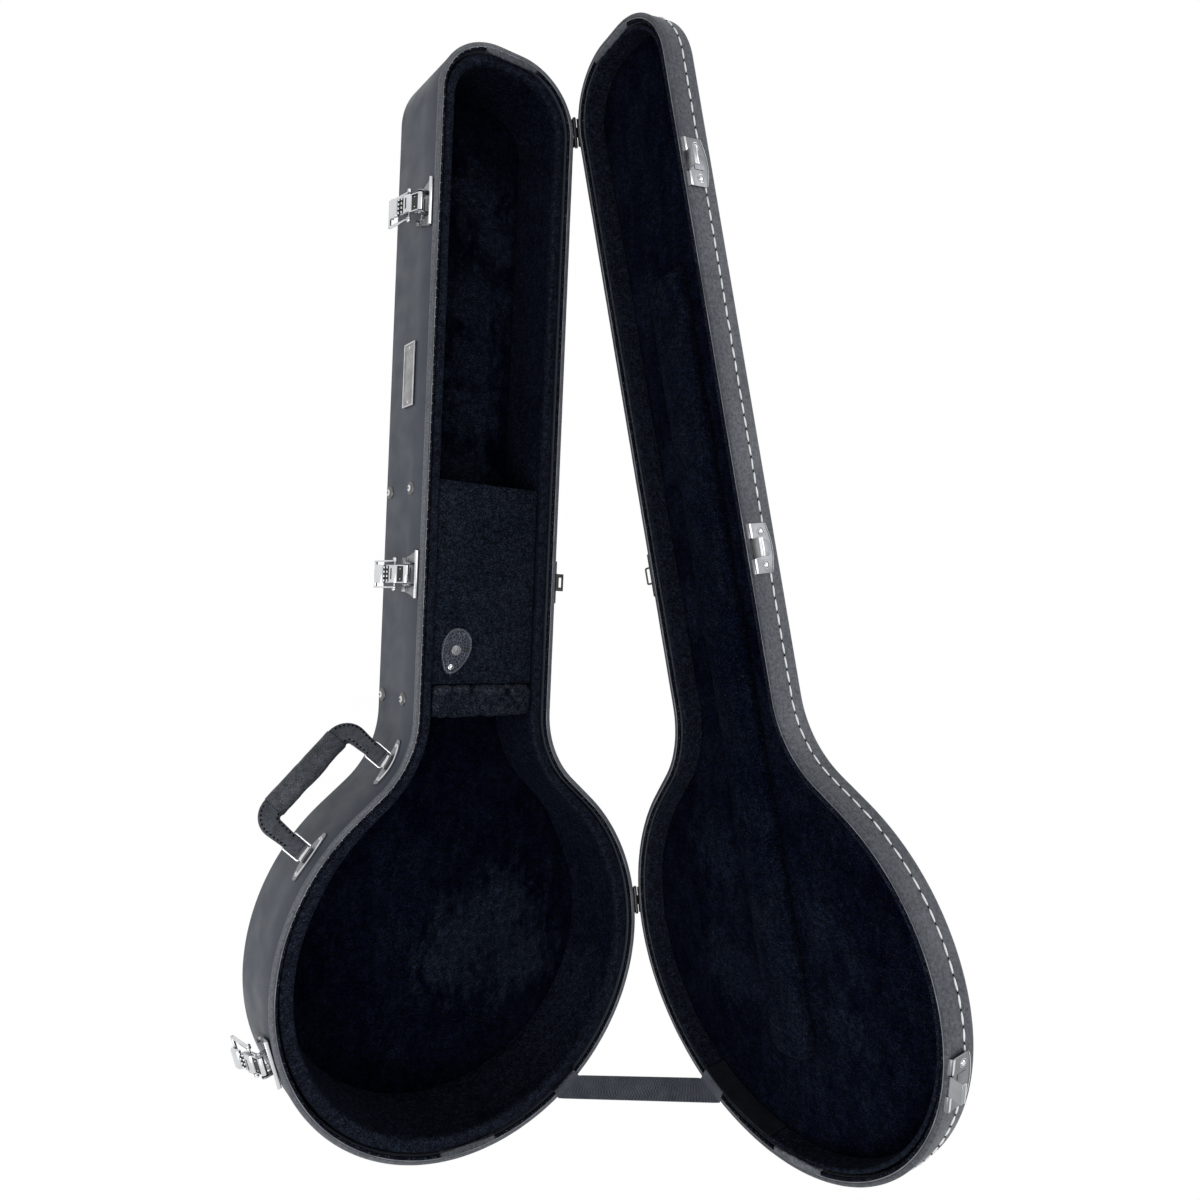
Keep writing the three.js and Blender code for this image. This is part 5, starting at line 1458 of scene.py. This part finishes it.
def build_latches():
    for name, point in LATCHES.items():
        seat = wall_frame(point)
        pivot = seat @ Matrix.Translation((0, PIVOT_OUT, -PIVOT_DOWN)) @ Matrix.Rotation(
            math.radians(LEVER_REST), 4, "X")
        swing = pivot @ Matrix.Translation((0, -1.2, -16)) @ Matrix.Rotation(
            math.radians(BAIL_REST), 4, "X")
        lever, bail, lid_seat = f"{name}_lever", f"{name}_bail", OPEN_LID @ seat
        for form, part, body, look, at, node in (
                (latch_plate, "plate", "case_base", PLATE_CHROME, seat, "plate"),
                (latch_flange, "flange", "case_base", CHROME, seat, None),
                (latch_shadow, "slot", "case_base", DARK_METAL_AND_SHADE, seat, None),
                (lever_pin, "pin", "case_base", CHROME, seat, "lever_pin"),
                (latch_lever, "lever", lever, CHROME, pivot, "lever"),
                (lever_shadow, "gaps", lever, DARK_METAL_AND_SHADE, pivot, None),
                (latch_bail, "bail", bail, CHROME, swing, "bail"),
                (keeper_plate, "keeper", "case_lid", KEEPER_CHROME, lid_seat, "keeper"),
                (keeper_hook, "hook", "case_lid", HOOK_CHROME, lid_seat, None),
                (keeper_brights, "rivets_and_highlight_strips", "case_lid", CHROME, lid_seat, None)):
            form().finish(f"{name}_catch_{part}", body, "bright_chrome", look, at,
                          (f"{name}_latch_{node}",) if node else ())


# ---------------------------------------------------------------- hinges and guides


def dress_small_metal():
    for name, node in frame["nodes"].items():
        if "hinge" in name:
            material = DARK_METAL_AND_SHADE
        elif name.startswith("waist_guide"):
            material = AGED_METAL
        else:
            continue
        for slot in node.material_slots:
            slot.material = material


# ---------------------------------------------------------------- name plate


def name_plate():
    """Bare plate: a raised border round a brushed field, with a pin at each end."""
    seat = wall_frame(mirror(neck_point(NAME_PLATE_Y)))
    form = Shape()
    z = -NAME_PLATE_DOWN
    form.slab([(-31, z - 12), (31, z - 12), (31, z + 12), (-31, z + 12)], 0.3, 1.7, "y", 0.4, 3)
    form.finish("bare_plate", "case_base", "plate_aluminium", NAME_PLATE, seat,
                ("name_plate",))
    border = Shape()
    for low, high, x0, x1 in ((z - 12, z - 10.4, -31, 31), (z + 10.4, z + 12, -31, 31),
                              (z - 11, z + 11, -31, -29.4), (z - 11, z + 11, 29.4, 31)):
        border.block(x0, x1, 0.3, 2.3, low, high, 0.35, 2)
    for side in (-1, 1):
        border.stud(1.4, 0.7, side * 26.5, 1.7, z)
    border.finish("bare_plate_border", "case_base", "plate_aluminium", PLATE_BORDER, seat)


# ---------------------------------------------------------------- handle

PIVOT_Z = 67.0
GRIP_OUT = 48.15
CORNER = 12.0
AXIS_OUT = 4.6
HANDLE_DROOP = 23
UPPER_ANGLE = math.radians(29.32)
LOWER_ANGLE = math.radians(35.49)


# Places on the wall at a distance along the rim from the middle of each handle plate.
SEATS = {
    "upper": lambda s: mirror(waist_point(UPPER_ANGLE - s / WAIST_FILLET)),
    "lower": lambda s: mirror(round_point((0, 0), BODY_RADIUS, LOWER_ANGLE + s / BODY_RADIUS)),
}


def seat_axis(seat):
    x, y, nx, ny = SEATS[seat](0)
    return Vector((x + nx * AXIS_OUT, y + ny * AXIS_OUT, PIVOT_Z))


UPPER_PIVOT, LOWER_PIVOT = seat_axis("upper"), seat_axis("lower")
REACH = (UPPER_PIVOT - LOWER_PIVOT).length / 2
HANDLE_AXIS = UPPER_PIVOT - LOWER_PIVOT
HANDLE_FRAME = (
    Matrix.Translation((UPPER_PIVOT + LOWER_PIVOT) / 2)
    @ Matrix.Rotation(math.atan2(HANDLE_AXIS.y, HANDLE_AXIS.x), 4, "Z")
    @ Matrix.Rotation(math.radians(-HANDLE_DROOP), 4, "X")
)


def handle_plate(seat):
    """Lens-shaped seat plate, its rim-side edge band, and the bridge over the ring's rod."""
    form = Shape()

    def section(s, low, high, out, soft):
        p = SEATS[seat](s)
        points = [(0, low), (out - soft, low), (out, low + soft), (out, high - soft),
                  (out - soft, high), (0, high)]
        return [inset(p, -0.3 - d, PIVOT_Z + z) for d, z in points]

    def lens(t):
        return 3 + 4.4 * (1 - t * t) if abs(t) < 0.999 else 1.8

    form.skin([section(t * 23.5, -lens(t), lens(t), 1.2, 0.35) for t in np.linspace(-1, 1, 41)])
    edge = Shape()
    edge.skin([section(t * 7.0, -2.4, 2.4, AXIS_OUT + 2.0 - 1.4 * max(0, abs(t) - 0.85) * 6, 1.5)
               for t in np.linspace(-1, 1, 15)])
    edge.skin([section(t * 20, lens(t) - 1.5, lens(t) + 0.25, 1.9, 0.5)
               for t in np.linspace(-1, 1, 41)])
    for t in (-17.5, 17.5):
        at = wall_frame(SEATS[seat](t))
        head = Shape()
        head.stud(1.7, 0.9, 0, 1.4, PIVOT_Z - BASE_DEPTH - 0.6)
        head.bm.transform(at)
        edge.take(head.bm)
    return form, edge


def handle_ring(side):
    """Wire ring with rounded corners, through the seat's bridge."""
    form = Shape()
    half, reach, turn = 8.4, 19.0, 2.2
    inner, points = half - turn, []
    for cx, cy, first in ((inner, turn, -90), (inner, reach - turn, 0),
                          (-inner, reach - turn, 90), (-inner, turn, 180)):
        points += [(side * REACH + u, v, 0) for u, v in arc(cx, cy, turn, first, first + 90, 6)]
    form.tube(finer(points, 3.0, closed=True), (0.95, 0.95), 14, closed=True)
    return form


def end_stations():
    """Leather post: from the tongue beside the plate, round the corner, to the sleeve."""
    turn_y = GRIP_OUT - CORNER
    stations = [(REACH, 4.9, 6.2, 1.3), (REACH, 5.6, 7.0, 2.3)]
    for i in range(19):
        share = i / 18
        full = max(0.0, (share - 0.3) / 0.7)
        stations.append((REACH, 7.0 + (turn_y - 7.0) * share, 7.15 + 1.55 * full,
                         2.8 + 5.7 * full ** 1.3))
    for i in range(1, 15):
        a = math.radians(90 * i / 14)
        share = i / 14
        stations.append((REACH - CORNER + CORNER * math.cos(a), turn_y + CORNER * math.sin(a),
                         8.7 + (10.3 - 8.7) * share, 8.5 + (9.3 - 8.5) * share))
    stations.append((REACH - CORNER - 0.3, GRIP_OUT, 10.3, 9.3))
    return stations


def handle_end(side):
    form = Shape()
    stations = end_stations()
    form.tube([(side * station[0], station[1], 0) for station in stations],
              lambda i: (stations[i][2], stations[i][3]), 36, square=1.7,
              flat=(0, 0, side))

    def move(co):
        fold = math.exp(-((co.y - 17.5) / 1.3) ** 2) + 0.7 * math.exp(-((co.y - 31) / 2.0) ** 2)
        co.z *= 1 - 0.12 * fold
        co.z += 0.35 * rolling(co.x, co.y, co.z, 9.0, 1.0, 2.7) if co.y > 20 else 0
        return co

    form.shaped(move)
    return form


def handle_grip():
    """Sleeve round the grip, swollen on the finger side and pinched in at both ends."""
    form = Shape()
    half = REACH - CORNER - 0.6
    loops = []
    for i in range(81):
        s = -1 + 2 * i / 80
        x = s * half
        end = min(1.0, (half - abs(x)) / 1.3)
        swell = 1.7 * math.exp(-((x - 4) / 15) ** 2) + 0.6 * math.exp(-((x + 22) / 8) ** 2)
        loop = []
        for k in range(48):
            a = 2 * math.pi * k / 48
            c, z = math.cos(a), math.sin(a)
            ease = 1.2 * (1 - s * s)
            radius = 11.2 - ease * (1 if c < 0 else 0.2)
            if c < 0:
                radius += swell * -c
            radius -= 0.9 * (1 - math.sqrt(end))
            flat = (10.2 + ease * 0.5) - 0.9 * (1 - math.sqrt(end))
            c = math.copysign(abs(c) ** 0.86, c)
            z = math.copysign(abs(z) ** 0.86, z)
            bump = rolling(x, c * 12, z * 12, 7.0, 0.35, 5.2)
            loop.append((x, GRIP_OUT + c * (radius + bump), z * (flat + bump)))
        loops.append(loop)
    form.skin(loops)
    return form


def seam_line(side, face, edge, inner, first, last):
    """A line of stitch holes a little inside one edge of a leather post."""
    stations = end_stations()
    line = []
    for i in range(first, last):
        x, y, half, thick = stations[i]
        before, after = stations[i - 1], stations[i + 1]
        ahead = Vector((after[0] - before[0], after[1] - before[1], 0)).normalized()
        across = Vector((ahead.y, -ahead.x, 0))
        p = Vector((x, y, 0)) + across * (edge * half * inner)
        line.append((side * p.x, p.y, face * thick * 0.93))
    return line


def build_handle():
    for seat in ("upper", "lower"):
        plate, edge = handle_plate(seat)
        plate.finish(f"handle_{seat}_seat", "case_base", "bright_chrome",
                     PLATE_CHROME, HERE, (f"handle_{seat}_plate",))
        edge.finish(f"handle_{seat}_seat_edge", "case_base", "bright_chrome", CHROME)
    for side, seat in ((1, "upper"), (-1, "lower")):
        handle_ring(side).finish(f"handle_{seat}_loop", "carry_handle", "bright_chrome",
                                 CHROME, HANDLE_FRAME, (f"handle_{seat}_ring",))
        handle_end(side).finish(f"handle_{seat}_post", "carry_handle", "handle_leather",
                                GRIP_HIDE, HANDLE_FRAME, (f"handle_{seat}_end",), crease=50)
        for face, edge in ((-1, -1), (-1, 1), (1, -1), (1, 1)):
            stitch_row(f"handle_{seat}_seam_{'low' if face < 0 else 'top'}_"
                       f"{'in' if edge < 0 else 'out'}", "carry_handle",
                       seam_line(side, face, edge, 0.72, 9, 33), HANDLE_FRAME, PIN_HOLES,
                       pitch=3.8, long=1.9, wide=1.6, high=1.7, closed=False)
    handle_grip().finish("handle_sleeve", "carry_handle", "handle_leather", SLEEVE_HIDE,
                         HANDLE_FRAME, ("handle_grip",), crease=50)


# ---------------------------------------------------------------- stay strap


def strap_piece(name, body, edges, thick, stands_for, look):
    """Flat webbing through pairs of edge points, with its weave mapped in metres."""
    rows, columns = [], 12
    for i, (high, low) in enumerate(edges):
        before = edges[max(i - 1, 0)]
        after = edges[min(i + 1, len(edges) - 1)]
        ahead = (Vector(after[0]) + Vector(after[1]) - Vector(before[0]) - Vector(before[1]))
        across = (Vector(high) - Vector(low)).normalized()
        normal = across.cross(ahead.normalized()).normalized() * (thick / 2)
        top = [Vector(low).lerp(Vector(high), k / columns) + normal for k in range(columns + 1)]
        under = [p - 2 * normal for p in top[::-1]]
        rows.append(top + under)
    bm = bmesh.new()
    grid = [[bm.verts.new(p * MM) for p in row] for row in rows]
    uv = bm.loops.layers.uv.new("weave")
    count = len(grid[0])
    lengths = [0.0]
    for a, b in zip(rows, rows[1:]):
        lengths.append(lengths[-1] + (((a[0] + a[columns]) - (b[0] + b[columns])) / 2).length * MM)
    wide = (rows[0][0] - rows[0][columns]).length * MM
    for r in range(len(grid) - 1):
        for i in range(count):
            j = (i + 1) % count
            face = bm.faces.new((grid[r][i], grid[r][j], grid[r + 1][j], grid[r + 1][i]))
            for loop, (row, k) in zip(face.loops, ((r, i), (r, j), (r + 1, j), (r + 1, i))):
                share = (k if k <= columns else 2 * columns + 1 - k) / columns
                loop[uv].uv = (share * wide, lengths[row])
    bm.faces.new(grid[0][::-1])
    bm.faces.new(grid[-1])
    bmesh.ops.recalc_face_normals(bm, faces=bm.faces)
    mesh = bpy.data.meshes.new(name)
    bm.to_mesh(mesh)
    bm.free()
    smoothed(mesh, 45)
    piece = shown(name, mesh)
    mesh.materials.append(look)
    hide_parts(*stands_for)
    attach(piece, body)
    return piece, lengths[-1], wide


def rim_at(degrees):
    return clip_run(azimuth, degrees, 90)[0]


def densify(edges, step):
    out = []
    for a, b in zip(edges, edges[1:]):
        count = max(1, round((Vector(a[0]) - Vector(b[0])).length / step))
        for i in range(count):
            out.append(tuple(Vector(p).lerp(Vector(q), i / count) for p, q in zip(a, b)))
    out.append(tuple(Vector(p) for p in edges[-1]))
    return out


def build_strap():
    high, low = STRAP_HIGH_ANGLE, STRAP_LOW_ANGLE
    thick = 1.5
    top = BASE_RIM - 0.7
    mid = WALL + 0.3 + thick / 2

    def pair(depth, z):
        return tuple(Vector(inset(rim_at(a), depth, z)) for a in (high, low))

    end = densify([pair(mid, top - 30), pair(mid, top)], 3)
    anchor_piece, long, wide = strap_piece("strap_anchor", "case_base", end, thick,
                                           ("strap_base_end",), SEWN_WEBBING)
    lift = thick / 2 + 0.5
    inner = LID_LINING_FACE + 0.3
    tail_low = LID_RIM + 0.8
    base_side = [pair(mid, top + 0.3), pair(mid, BASE_RIM + lift), pair(0, BASE_RIM + lift)]
    lid_side = [pair(0, LID_RIM - lift), pair(WALL + 0.3, LID_RIM - lift),
                pair(inner + thick / 2, tail_low - 0.3 - thick / 2)]
    opened = [tuple(OPEN_LID @ p for p in edge) for edge in lid_side]
    span, length, wide = strap_piece("strap_stretch", "case_base", densify(base_side + opened, 4),
                                     thick, ("strap_span",), WEBBING)
    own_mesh(span)
    tail_high = min(tail_low + 25, LID_CEILING - 2.5 - 0.3)
    tail = [
        (OPEN_LID @ Vector(inset(p, inner + thick / 2, tail_high)),
         OPEN_LID @ Vector(inset(p, inner + thick / 2, tail_low)))
        for p in clip_run(azimuth, STRAP_TAIL_ANGLE, high)
    ]
    tail_piece, long, wide = strap_piece("strap_tail", "case_lid", tail, thick,
                                         ("strap_lid_end",), SEWN_WEBBING)


# ---------------------------------------------------------------- lid stitching


def started_later(points, along):
    """The same closed line, started a given length further round."""
    left = along
    for i, (a, b) in enumerate(zip(points, points[1:])):
        step = math.dist(a, b)
        if left < step:
            return [between(a, b, left / step)] + points[i + 1:] + points[:i + 1]
        left -= step
    return points


def lid_stitching():
    pitch = 12.7
    path = [inset(p, -0.15, STITCH_Z) for p in OUTLINE]
    stitch_row("lid_stitches", "case_lid", path, OPEN_LID, PALE_THREAD,
               pitch=pitch, long=11.4, wide=1.75, high=1.9, wander=0.05)
    between_them = started_later([inset(p, -0.05, STITCH_Z) for p in OUTLINE], pitch / 2)
    stitch_row("lid_stitch_holes", "case_lid", between_them, OPEN_LID, PIN_HOLES,
               pitch=pitch, long=2.2, wide=0.5, high=1.9, wander=0.02)


# ---------------------------------------------------------------- stage


def straight_to_eye(nodes, links):
    """1 for rays that the camera sees, straight, in a mirror or through glass; 0 for others."""
    path = nodes.new("ShaderNodeLightPath").outputs
    mirrored, seen = nodes.new("ShaderNodeMath"), nodes.new("ShaderNodeMath")
    for node, first, second in (
            (mirrored, path["Is Glossy Ray"], path["Is Transmission Ray"]),
            (seen, path["Is Camera Ray"], mirrored.outputs[0])):
        node.operation = "MAXIMUM"
        links.new(first, node.inputs[0])
        links.new(second, node.inputs[1])
    return seen.outputs[0]


def stage():
    half = 6
    mesh = bpy.data.meshes.new("floor")
    mesh.from_pydata([(-half, -half, 0), (half, -half, 0), (half, half, 0), (-half, half, 0)],
                     [], [(0, 1, 2, 3)])
    floor = shown("floor", mesh)
    material = bpy.data.materials.new("pale_floor")
    material.use_nodes = True
    nodes, links = material.node_tree.nodes, material.node_tree.links
    nodes.remove(nodes["Principled BSDF"])
    matt = nodes.new("ShaderNodeBsdfDiffuse")
    matt.inputs["Color"].default_value = (0.9, 0.9, 0.9, 1)
    glow = nodes.new("ShaderNodeEmission")
    share = nodes.new("ShaderNodeMath")
    share.operation = "MULTIPLY"
    share.inputs[1].default_value = 0.99
    links.new(straight_to_eye(nodes, links), share.inputs[0])
    mix = nodes.new("ShaderNodeMixShader")
    for i, output in enumerate((share, matt, glow)):
        links.new(output.outputs[0], mix.inputs[i])
    links.new(mix.outputs[0], nodes["Material Output"].inputs["Surface"])
    mesh.materials.append(material)


def world_light():
    world = bpy.data.worlds.new("studio")
    bpy.context.scene.world = world
    world.use_nodes = True
    nodes, links = world.node_tree.nodes, world.node_tree.links
    back = nodes["Background"]
    back.inputs["Color"].default_value = (1, 1, 1, 1)
    level = nodes.new("ShaderNodeMapRange")
    level.inputs["To Min"].default_value = 0.55
    level.inputs["To Max"].default_value = 1.0
    links.new(straight_to_eye(nodes, links), level.inputs["Value"])
    links.new(level.outputs[0], back.inputs["Strength"])


def lamp(name, at, look_at, size, power):
    light = bpy.data.lights.new(name, "AREA")
    light.shape = "RECTANGLE"
    light.size, light.size_y = size
    light.energy = power
    item = shown(name, light)
    item.location = at
    item.rotation_euler = (Vector(look_at) - Vector(at)).to_track_quat("-Z", "Y").to_euler()


def camera():
    data = bpy.data.cameras.new("camera")
    data.sensor_width = SENSOR_WIDTH
    data.sensor_fit = "HORIZONTAL"
    data.lens = FOCAL_PIXELS / IMAGE_PIXELS * SENSOR_WIDTH
    data.clip_start, data.clip_end = 0.01, 100
    item = shown("camera", data)
    rows = [CAMERA_RIGHT, CAMERA_UP, CAMERA_BACK]
    matrix = Matrix([[rows[c][r] for c in range(3)] for r in range(3)]).to_4x4()
    matrix.translation = CAMERA_AT
    item.matrix_world = matrix
    bpy.context.scene.camera = item


def lights():
    bpy.context.scene.view_settings.view_transform = "Standard"
    world_light()
    lamp("key", (-1.5, -0.6, 1.8), (0, 0.2, 0), (1.4, 1.4), 26)
    lamp("fill", (1.5, 1.3, 2.2), (0, 0.35, 0.1), (1.8, 1.8), 22)


camera()
lights()
stage()
build_shells()
build_linings()
neck_pad()
build_lips()
neck_rest()
cloth_board("pocket_wall_plush", "case_base", -56.0, 56.0, 448.0, 461.7, FLOOR_TOP + 0.4,
            LEDGE_Z, 1.2, ("pocket_head_wall",))
cloth_board("pocket_cover_plush", "pocket_cover", -55.0, 55.0, 266.0, 462.0, 78.0, 82.0, 1.4,
            ("pocket_lid",))
pull_tab()
wall_screws()
build_latches()
dress_small_metal()
name_plate()
build_handle()
build_strap()
lid_stitching()
